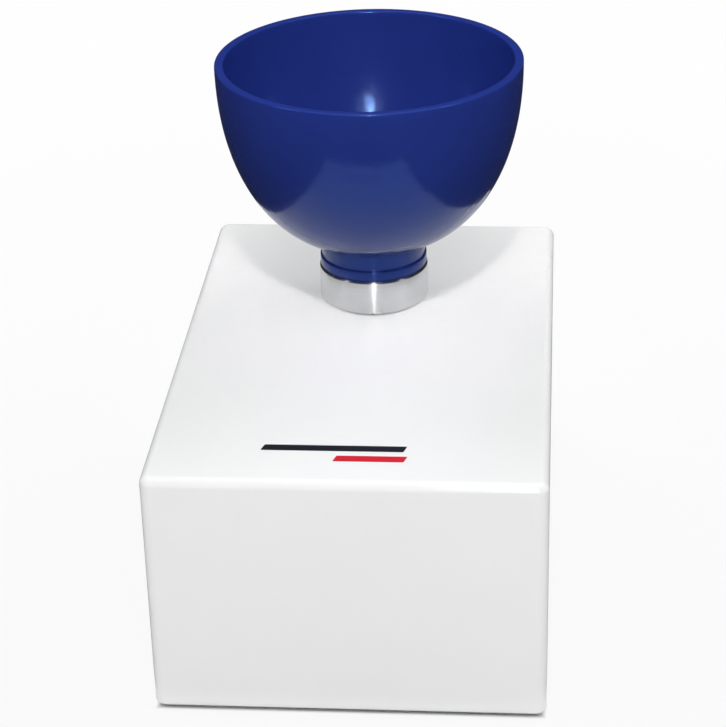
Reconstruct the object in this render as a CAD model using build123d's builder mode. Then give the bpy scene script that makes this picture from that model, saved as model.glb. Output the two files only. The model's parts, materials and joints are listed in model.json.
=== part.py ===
from build123d import *
import os
from math import asin, cos, radians, sin, sqrt

# Dental impression mixer: a belt-driven spindle in a moulded case turns a rubber mixing bowl.
# Millimetres. The origin is on the table under the middle of the case; the front faces -Y, up is +Z.

# ---------------------------------------------------------------- driving dimensions

# Case
case_width = 170.0
case_depth = 264.0
case_top = 115.0  # worktop above the table
case_lift = 1.6  # table to the case's lower edge
case_wall = 3.0
corner_radius = 5.0
inner_corner_radius = 2.0
top_edge_radius = 4.0
lower_edge_radius = 2.0
boss_radius = 5.0
boss_bite = 1.0  # how far a corner boss is sunk into both walls
boss_hole_depth = 15.0

# Base plate, feet and pillars
plate_thickness = 2.0
plate_gap = 0.5
foot_height = 3.4
foot_radius = 9.0
foot_inset = 26.0
foot_edge = 0.6
screw_recess = 0.4  # foot screw's head above the sole
foot_screw_end = 3.0  # beyond the plate
base_screw_bite = 12.0  # in the case's boss
pillar_screw_bite = 11.5  # in the pillar
pillar_x = 27.5
pillar_flats = 10.0
pillar_height = 34.6
pillar_gap = 3.0  # between a rear pillar and the driven pulley
pillar_margin = 6.5  # frame end beyond the pillar's axis
front_pillar_reach = 35.0  # front pillars ahead of the motor's axis

# Screws: one proportion for every pan head
head_ratio = 1.8
head_height_ratio = 1.1
socket_ratio = 0.9
socket_depth_share = 0.55
small_screw = 1.5  # shank radii
medium_screw = 2.0
large_screw = 2.5
thread_gap = 0.05
hole_gap = 0.25
fit_gap = 0.02

# Drive frame
frame_width = 72.0
frame_thickness = 3.0
frame_flange = 12.0

# Spindle
spindle_inset = 81.8  # spindle axis ahead of the rear face
spindle_radius = 6.0
spindle_foot = 14.0  # lower end above the table

# Bearings, two alike
bearing_radius = 14.0
bearing_width = 8.0
outer_race_inner = 11.5
inner_race_outer = 8.6
ball_radius = 2.38
ball_count = 8
ball_groove_gap = 0.07
cage_inner = 9.1
cage_outer = 11.0
cage_height = 6.0
lower_bearing_bottom = 62.0
upper_bearing_bottom = 92.0

# Bearing housing
housing_flange_radius = 32.0
housing_flange_thickness = 6.0
housing_bolt_radius = 25.0
barrel_radius = 19.0
shoulder_bore = 12.0
housing_headroom = 2.0  # below the worktop's underside
ring_thickness = 1.0
ring_bite = 0.6  # retaining ring in its groove
housing_ring_width = 2.6
spindle_ring_width = 2.2
ring_slit = 4.0
spacer_wall = 2.0
seal_bottom = 102.6
seal_height = 5.0
seal_shell = 1.4
seal_waist = 8.4
lip_gap = 0.05

# Belt and pulleys
driven_pitch_radius = 46.0
motor_pitch_radius = 11.5
belt_centre_distance = 110.2
belt_thickness = 5.0
belt_width = 8.0
belt_taper = 1.8  # half-width lost from back to nose
belt_flank_share = 0.94  # of the belt's thickness that its flanks slope over
belt_gap = 0.3
belt_middle = 26.0  # height of the belt's middle above the table
pulley_width = 14.0
pulley_lip = 4.0  # rim beyond the pitch line
rim_depth = 6.0  # rim below the groove's floor
web_thickness = 5.0
driven_hub_radius = 15.0
driven_hub_rise = 4.0
driven_hub_drop = 2.0
lightening_radius = 8.0
lightening_count = 6
motor_hub_radius = 8.0
motor_hub_rise = 5.0
grub_radius = 2.0

# Motor
motor_radius = 31.5
front_cap_height = 6.0
can_length = 35.0
rear_cap_height = 21.0
rear_cap_end = 5.0
can_wall = 2.5
cap_wall = 3.0
motor_pilot_radius = 11.0
motor_shaft_radius = 4.0
motor_shaft_drop = 2.0  # below the motor pulley
bush_radius = 7.0
bush_length = 7.0
bush_gap = 0.04
magnet_thickness = 8.0
magnet_half_angle = 62.0
magnet_margin = 3.0
air_gap = 0.8
core_length = 20.0
core_offset = 9.0  # above the can's lower end
slot_count = 12
slot_width = 3.4
slot_depth = 9.0
winding_inner = 7.0
winding_height = 5.0
winding_gap = 0.1
commutator_radius = 10.0
commutator_length = 9.0
commutator_offset = 2.0
motor_bolt_circle = 25.0
motor_screw_half = 15.5
tension_travel = 3.0
brush_side = 6.0
brush_length = 15.0
brush_gap = 0.1
holder_wall = 2.4
brush_cap_radius = 5.0
brush_cap_length = 4.0

# Chuck ring
chuck_radius = 25.6
chuck_height = 16.4
chuck_gap = 0.6  # above the worktop
chuck_wall = 2.2
chuck_floor = 4.0
chuck_chamfer = 0.8
chuck_hub_radius = 8.0
chuck_hub_length = 6.6
chuck_web = 2.5  # floor left above the spindle's end
spindle_hole_gap = 1.0
chuck_screw_radius = 3.0
chuck_screw_length = 14.0

# Mixing bowl
bowl_rim_radius = 70.6
bowl_rim_height = 118.0  # above the worktop
bowl_base_rise = 27.1  # where the outer curve would end, above the worktop
bowl_base_thickness = 6.9
bowl_rim_wall = 4.2
bowl_round_side = 2.46
bowl_round_depth = 2.20
bowl_curve_points = 8
rim_edge_radius = 0.9
plug_gap = 0.3
bowl_lip_radius = 25.2
bowl_lip_height = 5.0
bowl_waist_radius = 24.6
bowl_neck_radius = 26.0
bowl_neck_slope = 0.9  # fall per unit inwards where the wall meets the neck
plug_recess_radius = 14.0
plug_recess_depth = 18.0

# Control tray in the left wall
tray_setback = 72.0  # tray's middle behind the front face
tray_z = 66.0
tray_length = 84.0
tray_height = 40.0
tray_depth = 11.0
tray_wall = 2.0
tray_radius = 6.0
tray_flange = 4.0
tray_flange_thickness = 1.2
tray_gap = 0.3
tray_hook = 0.9
tray_hook_length = 10.0

# Rocker switch
switch_offset = 24.0  # ahead of the tray's middle
bezel_width = 15.0
bezel_height = 21.0
bezel_thickness = 1.6
bezel_step = 1.0  # bezel beyond the housing
switch_wall = 0.8
switch_depth = 14.0
switch_cavity = 10.0
rocker_gap = 0.3
rocker_tilt = 10.0
rocker_pivot_depth = 2.4
rocker_pin_radius = 1.2
rocker_rise = 3.6  # face ends above the pivot
rocker_dip = 2.4  # face middle above the pivot
rocker_skirt = 3.0
tab_length = 8.0
tab_width = 4.8
tab_thickness = 0.8
switch_tab_pitch = 8.0

# Speed control
knob_offset = -16.0  # behind the tray's middle
knob_radius = 13.0
knob_height = 9.6
knob_float = 0.8
knob_flutes = 24
flute_radius = 1.1
knob_edge = 1.0
knob_recess_radius = 7.0
knob_recess_depth = 3.4
knob_start = 230.0  # pointer angle at the lowest speed
pointer_length = 7.0
pointer_width = 1.6
pointer_depth = 0.6
control_body_radius = 8.5
control_body_depth = 9.0
control_neck_radius = 3.5
control_neck_length = 5.0
control_shaft_radius = 2.4
control_shaft_reach = 8.0
control_nut_flats = 10.0
control_nut_height = 2.0
control_tab_pitch = 5.0
control_tab_width = 2.0

# Power inlet in the rear wall
inlet_frame_gap = 1.0  # inlet's body beside the drive frame
inlet_z = 34.0
inlet_flange_width = 50.0
inlet_flange_height = 40.0
inlet_flange_thickness = 2.2
inlet_flange_radius = 3.0
inlet_body_width = 28.0
inlet_body_height = 36.0
inlet_body_depth = 24.0
inlet_gap = 0.3
inlet_screw_half = 20.0
inlet_screw_length = 8.2
socket_width = 24.5
socket_height = 16.5
socket_chamfer = 4.0
socket_depth = 16.0
socket_rise = 7.0
pin_width = 2.0
pin_height = 4.0
pin_length = 12.0
pin_pitch = 14.0
pin_drop = 2.0
earth_rise = 2.5
drawer_drop = 12.0
drawer_width = 24.6
drawer_height = 9.0
drawer_depth = 20.5
drawer_gap = 0.3
fuse_radius = 2.6
fuse_length = 20.0
fuse_cap_length = 5.0
fuse_cap_wall = 0.25
fuse_depth = 11.0
fuse_gap = 0.2

# Control board
board_width = 38.0
board_side_gap = 3.0
board_front_margin = 14.0  # board ahead of the terminal block
board_rear_margin = 8.0  # board behind the terminal block
board_thickness = 1.6
post_height = 8.0
post_radius = 3.0
post_margin = 4.0
block_width = 10.0
block_height = 12.0
block_margin = 2.0
block_reach = 6.0  # beyond the outer ports
port_rise = 5.0
sink_width = 16.0
sink_length = 44.0
sink_height = 22.0
sink_base = 3.0
fin_count = 5
fin_thickness = 1.2

# Leads inside the case
lead_radius = 1.2
lead_bend = 6.0
lead_floor = 12.0
port_gap = 0.4
supply_lane = 6.0  # outer lane from the left wall
neutral_lane = 10.0

# Vents
vent_width = 3.0
vent_pitch = 7.0
vent_count = 8
vent_height = 36.0
vent_x = 40.0
vent_z = 62.0
plate_vent_length = 30.0

# ---------------------------------------------------------------- places worked out from the sizes

front_face = -case_depth / 2
rear_face = case_depth / 2
left_face = -case_width / 2
ceiling = case_top - case_wall
plate_bottom = foot_height
plate_top = plate_bottom + plate_thickness
boss_x = case_width / 2 - case_wall - boss_radius + boss_bite
boss_y = case_depth / 2 - case_wall - boss_radius + boss_bite
foot_x = case_width / 2 - foot_inset
foot_y = case_depth / 2 - foot_inset

frame_bottom = plate_top + pillar_height
frame_top = frame_bottom + frame_thickness

spindle_y = rear_face - spindle_inset
motor_y = spindle_y - belt_centre_distance
spindle_axis = Axis((0, spindle_y, 0), (0, 0, 1))
motor_axis = Axis((0, motor_y, 0), (0, 0, 1))
spindle_section = Plane(origin=(0, spindle_y, 0), x_dir=(1, 0, 0), z_dir=(0, -1, 0))
motor_section = Plane(origin=(0, motor_y, 0), x_dir=(1, 0, 0), z_dir=(0, -1, 0))

driven_rim_radius = driven_pitch_radius + pulley_lip
motor_rim_radius = motor_pitch_radius + pulley_lip
pulley_bottom = belt_middle - pulley_width / 2
pulley_top = belt_middle + pulley_width / 2

pillar_corner = pillar_flats / 2 / cos(radians(30))
rear_pillar_reach = sqrt((driven_rim_radius + pillar_corner + pillar_gap) ** 2 - pillar_x**2)
rear_pillar_y = spindle_y + rear_pillar_reach
front_pillar_y = motor_y - front_pillar_reach
frame_front = front_pillar_y - pillar_margin
frame_rear = rear_pillar_y + pillar_margin
frame_length = frame_rear - frame_front
pillar_spots = [
    (side * pillar_x, y) for side in (-1, 1) for y in (front_pillar_y, rear_pillar_y)
]

housing_top = ceiling - housing_headroom
bearing_middles = [z + bearing_width / 2 for z in (lower_bearing_bottom, upper_bearing_bottom)]
ball_pitch_radius = (outer_race_inner + inner_race_outer) / 2
ball_groove_radius = ball_radius + ball_groove_gap
lower_bearing_top = lower_bearing_bottom + bearing_width
upper_bearing_top = upper_bearing_bottom + bearing_width

chuck_bottom = case_top + chuck_gap
chuck_top = chuck_bottom + chuck_height
chuck_seat = chuck_bottom + chuck_floor
spindle_top = chuck_seat - chuck_web
spindle_hole_radius = chuck_hub_radius + spindle_hole_gap

can_bottom = frame_top + front_cap_height
can_top = can_bottom + can_length
motor_top = can_top + rear_cap_height
motor_cavity_top = motor_top - rear_cap_end
can_inner = motor_radius - can_wall
magnet_inner = can_inner - magnet_thickness
core_radius = magnet_inner - air_gap
core_bottom = can_bottom + core_offset
core_top = core_bottom + core_length
commutator_bottom = core_top + winding_height + commutator_offset
brush_z = commutator_bottom + commutator_length / 2
motor_shaft_foot = pulley_bottom - motor_shaft_drop

tray_y = front_face + tray_setback
tray_floor = left_face + tray_depth  # x of the tray floor's outer surface
tray_back = tray_floor + tray_wall
rocker_y = tray_y - switch_offset
knob_y = tray_y - knob_offset
left_plane = Plane(origin=(left_face, tray_y, tray_z), x_dir=(0, -1, 0), z_dir=(-1, 0, 0))
switch_plane = Plane(origin=(tray_floor, rocker_y, tray_z), x_dir=(0, -1, 0), z_dir=(-1, 0, 0))
knob_plane = Plane(origin=(tray_floor, knob_y, tray_z), x_dir=(0, -1, 0), z_dir=(-1, 0, 0))
switch_back = tray_floor + switch_depth
rocker_pivot_x = tray_floor - bezel_thickness + rocker_pivot_depth

inlet_x = -(frame_width / 2 + inlet_frame_gap + inlet_body_width / 2)
inlet_plane = Plane(origin=(inlet_x, rear_face, inlet_z), x_dir=(-1, 0, 0), z_dir=(0, 1, 0))
inlet_front = inlet_plane.offset(inlet_flange_thickness)
inlet_face = rear_face + inlet_flange_thickness
inlet_back = rear_face - inlet_body_depth
socket_floor = inlet_face - socket_depth
pin_spots = [
    (-pin_pitch / 2, socket_rise - pin_drop),
    (pin_pitch / 2, socket_rise - pin_drop),
    (0, socket_rise + earth_rise),
]

board_x = case_width / 2 - case_wall - board_side_gap - board_width / 2
board_bottom = plate_top + post_height
board_top = board_bottom + board_thickness
board_left = board_x - board_width / 2
block_left = board_left + block_margin
port_z = board_top + port_rise
control_lead_ys = [knob_y + step * control_tab_pitch for step in (-1, 0, 1)]
switched_y = rocker_y + switch_tab_pitch / 2
neutral_y = control_lead_ys[-1] + 2 * control_tab_pitch
port_ys = [switched_y, *control_lead_ys, neutral_y]
block_front = port_ys[0] - block_reach
block_rear = port_ys[-1] + block_reach
board_front = block_front - board_front_margin
board_rear = block_rear + board_rear_margin
board_length = board_rear - board_front
board_y = (board_front + board_rear) / 2


# ---------------------------------------------------------------- shared shapes


def turned(section, axis, outline):
    """A solid of revolution from (radius, height) points."""
    with BuildPart() as piece:
        with BuildSketch(section):
            with BuildLine():
                Polyline(*outline, close=True)
            make_face()
        revolve(axis=axis)
    return piece


def screw_set(seat, spots, radius, length):
    """Pan-head screws: heads stand on the plane `seat`, shanks run back through it."""
    head_height = radius * head_height_ratio
    with BuildPart() as screws:
        with BuildSketch(seat):
            with Locations(*spots):
                Circle(radius * head_ratio)
        extrude(amount=head_height)
        chamfer(screws.faces().sort_by(Axis(seat.origin, seat.z_dir))[-len(spots) :].edges(), head_height / 4)
        with BuildSketch(seat):
            with Locations(*spots):
                Circle(radius)
        extrude(amount=-length)
        with BuildSketch(seat.offset(head_height)):
            with Locations(*spots):
                RegularPolygon(radius * socket_ratio, 6)
        extrude(amount=-head_height * socket_depth_share, mode=Mode.SUBTRACT)
    return screws


def retaining_rings(inner, outer, bottoms):
    """Slit rings around the spindle, one above each given height."""
    with BuildPart() as rings:
        for bottom in bottoms:
            with BuildSketch(Plane.XY.offset(bottom)):
                with Locations((0, spindle_y)):
                    Circle(outer)
                    Circle(inner, mode=Mode.SUBTRACT)
                with Locations((0, spindle_y)):
                    Rectangle(
                        2 * outer,
                        ring_slit,
                        align=(Align.MIN, Align.CENTER),
                        mode=Mode.SUBTRACT,
                    )
            extrude(amount=ring_thickness)
    return rings


def grub_screw(axis_y, height, inner, outer):
    """A headless screw that lies along +X from a shaft's surface to its hub's."""
    with BuildPart() as screw:
        with BuildSketch(Plane(origin=(inner, axis_y, height), x_dir=(0, 1, 0), z_dir=(1, 0, 0))):
            Circle(grub_radius)
        extrude(amount=outer - inner)
        with BuildSketch(Plane(origin=(outer, axis_y, height), x_dir=(0, 1, 0), z_dir=(1, 0, 0))):
            RegularPolygon(grub_radius * socket_ratio / 2, 6)
        extrude(amount=-grub_radius, mode=Mode.SUBTRACT)
    return screw


def groove_outline(pitch):
    """The V groove's four corners, from the upper lip to the lower one."""
    back = pitch + belt_thickness / 2
    nose = pitch - belt_thickness / 2 - belt_gap
    half_back = belt_width / 2 + belt_gap
    half_nose = half_back - belt_taper
    flare = belt_taper / belt_thickness * (pitch + pulley_lip - back)
    rim = pitch + pulley_lip
    return [
        (rim, belt_middle + half_back + flare),
        (nose, belt_middle + half_nose),
        (nose, belt_middle - half_nose),
        (rim, belt_middle - half_back - flare),
    ]


def leads(routes):
    """Round insulated leads, each along straight runs joined by tangent arcs."""
    with BuildPart() as bundle:
        for points, radii in routes:
            with BuildLine() as path:
                FilletPolyline(*points, radius=radii)
            with BuildSketch(Plane(origin=path.line @ 0, z_dir=path.line % 0)):
                Circle(lead_radius)
            sweep(path=path.wires()[0])
    return bundle


def bowl_curve(rim_radius, depth, stop_radius):
    """Points of a bowl wall from the rim down to `stop_radius`, as (radius, depth below the rim)."""
    stop = (1 - (stop_radius / rim_radius) ** bowl_round_side) ** (1 / bowl_round_depth)
    last = asin(stop ** (bowl_round_depth / 2))
    angles = [last * step / bowl_curve_points for step in range(bowl_curve_points + 1)]
    return [
        (
            rim_radius * cos(angle) ** (2 / bowl_round_side),
            depth * sin(angle) ** (2 / bowl_round_depth),
        )
        for angle in angles
    ]


# ---------------------------------------------------------------- case, base plate and feet

with BuildPart() as case_shell:
    with BuildSketch(Plane.XY.offset(case_lift)):
        RectangleRounded(case_width, case_depth, corner_radius)
    extrude(amount=case_top - case_lift)
    fillet(case_shell.faces().sort_by(Axis.Z)[-1].edges(), top_edge_radius)
    fillet(case_shell.faces().sort_by(Axis.Z)[0].edges(), lower_edge_radius)
    with BuildSketch(Plane.XY.offset(case_lift)):
        RectangleRounded(
            case_width - 2 * case_wall, case_depth - 2 * case_wall, inner_corner_radius
        )
    extrude(amount=ceiling - case_lift, mode=Mode.SUBTRACT)
    # corner bosses for the base screws
    with BuildSketch(Plane.XY.offset(plate_top)):
        with GridLocations(2 * boss_x, 2 * boss_y, 2, 2):
            Circle(boss_radius)
    extrude(amount=ceiling - plate_top)
    with BuildSketch(Plane.XY.offset(plate_top)):
        with GridLocations(2 * boss_x, 2 * boss_y, 2, 2):
            Circle(small_screw + thread_gap)
    extrude(amount=boss_hole_depth, mode=Mode.SUBTRACT)
    # spindle opening in the worktop
    with BuildSketch(Plane.XY.offset(case_top)):
        with Locations((0, spindle_y)):
            Circle(spindle_hole_radius)
    extrude(amount=-case_wall, mode=Mode.SUBTRACT)
    # window for the control tray
    with BuildSketch(left_plane):
        RectangleRounded(tray_length + 2 * tray_gap, tray_height + 2 * tray_gap, tray_radius)
    extrude(amount=-case_wall, mode=Mode.SUBTRACT)
    # window and screw holes for the power inlet
    with BuildSketch(inlet_plane):
        Rectangle(inlet_body_width + 2 * inlet_gap, inlet_body_height + 2 * inlet_gap)
    extrude(amount=-case_wall, mode=Mode.SUBTRACT)
    with BuildSketch(inlet_plane):
        with GridLocations(2 * inlet_screw_half, 0, 2, 1):
            Circle(small_screw + thread_gap)
    extrude(amount=-inlet_screw_length, mode=Mode.SUBTRACT)
    # rear vents
    with BuildSketch(Plane(origin=(vent_x, rear_face, vent_z), x_dir=(-1, 0, 0), z_dir=(0, 1, 0))):
        with GridLocations(vent_pitch, 0, vent_count, 1):
            SlotOverall(vent_height, vent_width, rotation=90)
    extrude(amount=-case_wall, mode=Mode.SUBTRACT)

with BuildPart() as base_plate:
    plate_inset = case_wall + plate_gap
    with BuildSketch(Plane.XY.offset(plate_bottom)):
        RectangleRounded(
            case_width - 2 * plate_inset, case_depth - 2 * plate_inset, inner_corner_radius
        )
        with GridLocations(2 * boss_x, 2 * boss_y, 2, 2):
            Circle(small_screw + hole_gap, mode=Mode.SUBTRACT)
        with GridLocations(2 * foot_x, 2 * foot_y, 2, 2):
            Circle(small_screw + thread_gap, mode=Mode.SUBTRACT)
        with Locations(*pillar_spots):
            Circle(large_screw + hole_gap, mode=Mode.SUBTRACT)
        with Locations((board_x, board_y)):
            with GridLocations(vent_pitch, 0, 3, 1):
                SlotOverall(plate_vent_length, vent_width, rotation=90, mode=Mode.SUBTRACT)
    extrude(amount=plate_thickness)

with BuildPart() as rubber_feet:
    foot_screw_head = small_screw * head_height_ratio + screw_recess
    with BuildSketch():
        with GridLocations(2 * foot_x, 2 * foot_y, 2, 2):
            Circle(foot_radius)
    extrude(amount=foot_height)
    chamfer(rubber_feet.faces().group_by(Axis.Z)[0].edges(), foot_edge)
    with BuildSketch():
        with GridLocations(2 * foot_x, 2 * foot_y, 2, 2):
            Circle(small_screw * head_ratio + hole_gap)
    extrude(amount=foot_screw_head, mode=Mode.SUBTRACT)
    with BuildSketch():
        with GridLocations(2 * foot_x, 2 * foot_y, 2, 2):
            Circle(small_screw + hole_gap)
    extrude(amount=foot_height, mode=Mode.SUBTRACT)

corner_spots = [(side, end) for side in (-1, 1) for end in (-1, 1)]
foot_screws = screw_set(
    Plane(origin=(0, 0, foot_screw_head), x_dir=(1, 0, 0), z_dir=(0, 0, -1)),
    [(side * foot_x, end * foot_y) for side, end in corner_spots],
    small_screw,
    plate_top - foot_screw_head + foot_screw_end,
)

base_screws = screw_set(
    Plane(origin=(0, 0, plate_bottom), x_dir=(1, 0, 0), z_dir=(0, 0, -1)),
    [(side * boss_x, end * boss_y) for side, end in corner_spots],
    small_screw,
    plate_thickness + base_screw_bite,
)

# ---------------------------------------------------------------- drive frame

with BuildPart() as drive_frame:
    inner_width = frame_width - 2 * frame_thickness
    with BuildSketch(Plane(origin=(0, frame_front, 0), x_dir=(1, 0, 0), z_dir=(0, -1, 0))):
        with BuildLine():
            Polyline(
                (-frame_width / 2, frame_bottom),
                (frame_width / 2, frame_bottom),
                (frame_width / 2, frame_top + frame_flange),
                (inner_width / 2, frame_top + frame_flange),
                (inner_width / 2, frame_top),
                (-inner_width / 2, frame_top),
                (-inner_width / 2, frame_top + frame_flange),
                (-frame_width / 2, frame_top + frame_flange),
                close=True,
            )
        make_face()
    extrude(amount=-frame_length)
    with BuildSketch(Plane.XY.offset(frame_bottom)):
        with Locations(*pillar_spots):
            Circle(large_screw + hole_gap)
        with Locations((0, spindle_y)):
            Circle(barrel_radius + hole_gap)
            with PolarLocations(housing_bolt_radius, 4, start_angle=45):
                Circle(large_screw + thread_gap)
        with Locations((0, motor_y)):
            SlotCenterToCenter(2 * tension_travel, 2 * (motor_pilot_radius + hole_gap), rotation=90)
            with GridLocations(2 * motor_screw_half, 2 * motor_screw_half, 2, 2):
                SlotCenterToCenter(2 * tension_travel, 2 * (medium_screw + hole_gap), rotation=90)
    extrude(amount=frame_thickness, mode=Mode.SUBTRACT)

with BuildPart() as frame_pillars:
    with BuildSketch(Plane.XY.offset(plate_top)):
        with Locations(*pillar_spots):
            RegularPolygon(pillar_flats / 2, 6, major_radius=False)
            Circle(large_screw + thread_gap, mode=Mode.SUBTRACT)
    extrude(amount=pillar_height)

lower_pillar_screws = screw_set(
    Plane(origin=(0, 0, plate_bottom), x_dir=(1, 0, 0), z_dir=(0, 0, -1)),
    [(x, -y) for x, y in pillar_spots],
    large_screw,
    plate_thickness + pillar_screw_bite,
)
upper_pillar_screws = screw_set(
    Plane.XY.offset(frame_top), pillar_spots, large_screw, frame_thickness + pillar_screw_bite
)
with BuildPart() as pillar_screws:
    add(lower_pillar_screws.part)
    add(upper_pillar_screws.part)

# ---------------------------------------------------------------- bearing housing and seal

housing_outline = [
    (bearing_radius, frame_bottom),
    (barrel_radius, frame_bottom),
    (barrel_radius, frame_top),
    (housing_flange_radius, frame_top),
    (housing_flange_radius, frame_top + housing_flange_thickness),
    (barrel_radius, frame_top + housing_flange_thickness),
    (barrel_radius, housing_top),
    (bearing_radius, housing_top),
    (bearing_radius, upper_bearing_bottom),
    (shoulder_bore, upper_bearing_bottom),
    (shoulder_bore, lower_bearing_top),
    (bearing_radius, lower_bearing_top),
]
ring_heights = [lower_bearing_bottom - ring_thickness, upper_bearing_top]
with BuildPart() as bearing_housing:
    add(turned(spindle_section, spindle_axis, housing_outline).part)
    with BuildSketch(Plane.XY.offset(frame_top)):
        with Locations((0, spindle_y)):
            with PolarLocations(housing_bolt_radius, 4, start_angle=45):
                Circle(large_screw + hole_gap)
    extrude(amount=housing_flange_thickness, mode=Mode.SUBTRACT)
    # grooves for the retaining rings
    for ring_height in ring_heights:
        with BuildSketch(Plane.XY.offset(ring_height)):
            with Locations((0, spindle_y)):
                Circle(bearing_radius + ring_bite + fit_gap)
        extrude(amount=ring_thickness, mode=Mode.SUBTRACT)

housing_screws = screw_set(
    Plane.XY.offset(frame_top + housing_flange_thickness),
    [
        (
            housing_bolt_radius * cos(radians(angle)),
            spindle_y + housing_bolt_radius * sin(radians(angle)),
        )
        for angle in (45, 135, 225, 315)
    ],
    large_screw,
    housing_flange_thickness + frame_thickness + large_screw,
)

housing_rings = retaining_rings(
    bearing_radius - housing_ring_width, bearing_radius + ring_bite, ring_heights
)

seal_lip = seal_bottom + seal_height / 2
shaft_seal = turned(
    spindle_section,
    spindle_axis,
    [
        (bearing_radius - fit_gap, seal_bottom),
        (bearing_radius - fit_gap, seal_bottom + seal_height),
        (bearing_radius - seal_shell, seal_bottom + seal_height),
        (bearing_radius - seal_shell, seal_bottom + seal_shell),
        (seal_waist, seal_bottom + seal_shell),
        (seal_waist, seal_lip + seal_shell),
        (spindle_radius + lip_gap, seal_lip),
        (seal_waist - seal_shell, seal_bottom),
    ],
)

# ---------------------------------------------------------------- ball bearings

with BuildPart() as bearing_outer_races:
    for middle in bearing_middles:
        with Locations((0, spindle_y, middle)):
            Cylinder(bearing_radius - fit_gap, bearing_width)
            Cylinder(outer_race_inner, bearing_width, mode=Mode.SUBTRACT)
            Torus(ball_pitch_radius, ball_groove_radius, mode=Mode.SUBTRACT)

with BuildPart() as bearing_inner_races:
    for middle in bearing_middles:
        with Locations((0, spindle_y, middle)):
            Cylinder(inner_race_outer, bearing_width)
            Cylinder(spindle_radius + fit_gap, bearing_width, mode=Mode.SUBTRACT)
            Torus(ball_pitch_radius, ball_groove_radius, mode=Mode.SUBTRACT)

with BuildPart() as bearing_balls:
    for middle in bearing_middles:
        with Locations((0, spindle_y, middle)):
            with PolarLocations(ball_pitch_radius, ball_count):
                Sphere(ball_radius)

with BuildPart() as bearing_cages:
    for middle in bearing_middles:
        with Locations((0, spindle_y, middle)):
            Cylinder(cage_outer, cage_height)
            Cylinder(cage_inner, cage_height, mode=Mode.SUBTRACT)
            with PolarLocations(ball_pitch_radius, ball_count):
                Cylinder(
                    ball_groove_radius, bearing_radius, rotation=(0, 90, 0), mode=Mode.SUBTRACT
                )

# ---------------------------------------------------------------- spindle and its pulley

with BuildPart() as spindle_shaft:
    with BuildSketch(Plane.XY.offset(spindle_foot)):
        with Locations((0, spindle_y)):
            Circle(spindle_radius)
    extrude(amount=spindle_top - spindle_foot)
    with BuildSketch(Plane.XY.offset(spindle_top)):
        with Locations((0, spindle_y)):
            Circle(chuck_screw_radius + thread_gap)
    extrude(amount=-chuck_screw_length, mode=Mode.SUBTRACT)
    for ring_height in ring_heights:
        with BuildSketch(Plane.XY.offset(ring_height)):
            with Locations((0, spindle_y)):
                Circle(spindle_radius)
                Circle(spindle_radius - ring_bite - fit_gap, mode=Mode.SUBTRACT)
        extrude(amount=ring_thickness, mode=Mode.SUBTRACT)

spindle_rings = retaining_rings(
    spindle_radius - ring_bite, spindle_radius + spindle_ring_width, ring_heights
)

spindle_spacer = turned(
    spindle_section,
    spindle_axis,
    [
        (spindle_radius + fit_gap, lower_bearing_top),
        (spindle_radius + spacer_wall, lower_bearing_top),
        (spindle_radius + spacer_wall, upper_bearing_bottom),
        (spindle_radius + fit_gap, upper_bearing_bottom),
    ],
)

driven_rim_inner = driven_pitch_radius - belt_thickness / 2 - rim_depth
driven_hub_top = pulley_top + driven_hub_rise
driven_outline = [
    (spindle_radius + fit_gap, pulley_bottom - driven_hub_drop),
    (driven_hub_radius, pulley_bottom - driven_hub_drop),
    (driven_hub_radius, belt_middle - web_thickness / 2),
    (driven_rim_inner, belt_middle - web_thickness / 2),
    (driven_rim_inner, pulley_bottom),
    (driven_rim_radius, pulley_bottom),
    *reversed(groove_outline(driven_pitch_radius)),
    (driven_rim_radius, pulley_top),
    (driven_rim_inner, pulley_top),
    (driven_rim_inner, belt_middle + web_thickness / 2),
    (driven_hub_radius, belt_middle + web_thickness / 2),
    (driven_hub_radius, driven_hub_top),
    (spindle_radius + fit_gap, driven_hub_top),
]
driven_grub_z = (belt_middle + web_thickness / 2 + driven_hub_top) / 2
with BuildPart() as driven_pulley:
    add(turned(spindle_section, spindle_axis, driven_outline).part)
    with BuildSketch(Plane.XY.offset(belt_middle)):
        with Locations((0, spindle_y)):
            with PolarLocations((driven_hub_radius + driven_rim_inner) / 2, lightening_count):
                Circle(lightening_radius)
    extrude(amount=web_thickness / 2, both=True, mode=Mode.SUBTRACT)
    with BuildSketch(Plane(origin=(0, spindle_y, driven_grub_z), x_dir=(0, 1, 0), z_dir=(1, 0, 0))):
        Circle(grub_radius + thread_gap)
    extrude(amount=driven_hub_radius, mode=Mode.SUBTRACT)

driven_pulley_screw = grub_screw(
    spindle_y, driven_grub_z, spindle_radius + fit_gap, driven_hub_radius - fit_gap
)

# ---------------------------------------------------------------- chuck ring

with BuildPart() as chuck_ring:
    chuck_outline = [
        (spindle_radius + fit_gap, chuck_bottom - chuck_hub_length),
        (chuck_hub_radius, chuck_bottom - chuck_hub_length),
        (chuck_hub_radius, chuck_bottom),
        (chuck_radius, chuck_bottom),
        (chuck_radius, chuck_top),
        (chuck_radius - chuck_wall, chuck_top),
        (chuck_radius - chuck_wall, chuck_seat),
        (chuck_screw_radius + hole_gap, chuck_seat),
        (chuck_screw_radius + hole_gap, spindle_top),
        (spindle_radius + fit_gap, spindle_top),
    ]
    add(turned(spindle_section, spindle_axis, chuck_outline).part)
    chamfer(chuck_ring.edges().group_by(Axis.Z)[-1].sort_by(SortBy.RADIUS)[-1], chuck_chamfer)

chuck_screw = screw_set(
    Plane.XY.offset(chuck_seat), [(0, spindle_y)], chuck_screw_radius, chuck_screw_length
)

# ---------------------------------------------------------------- mixing bowl

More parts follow.
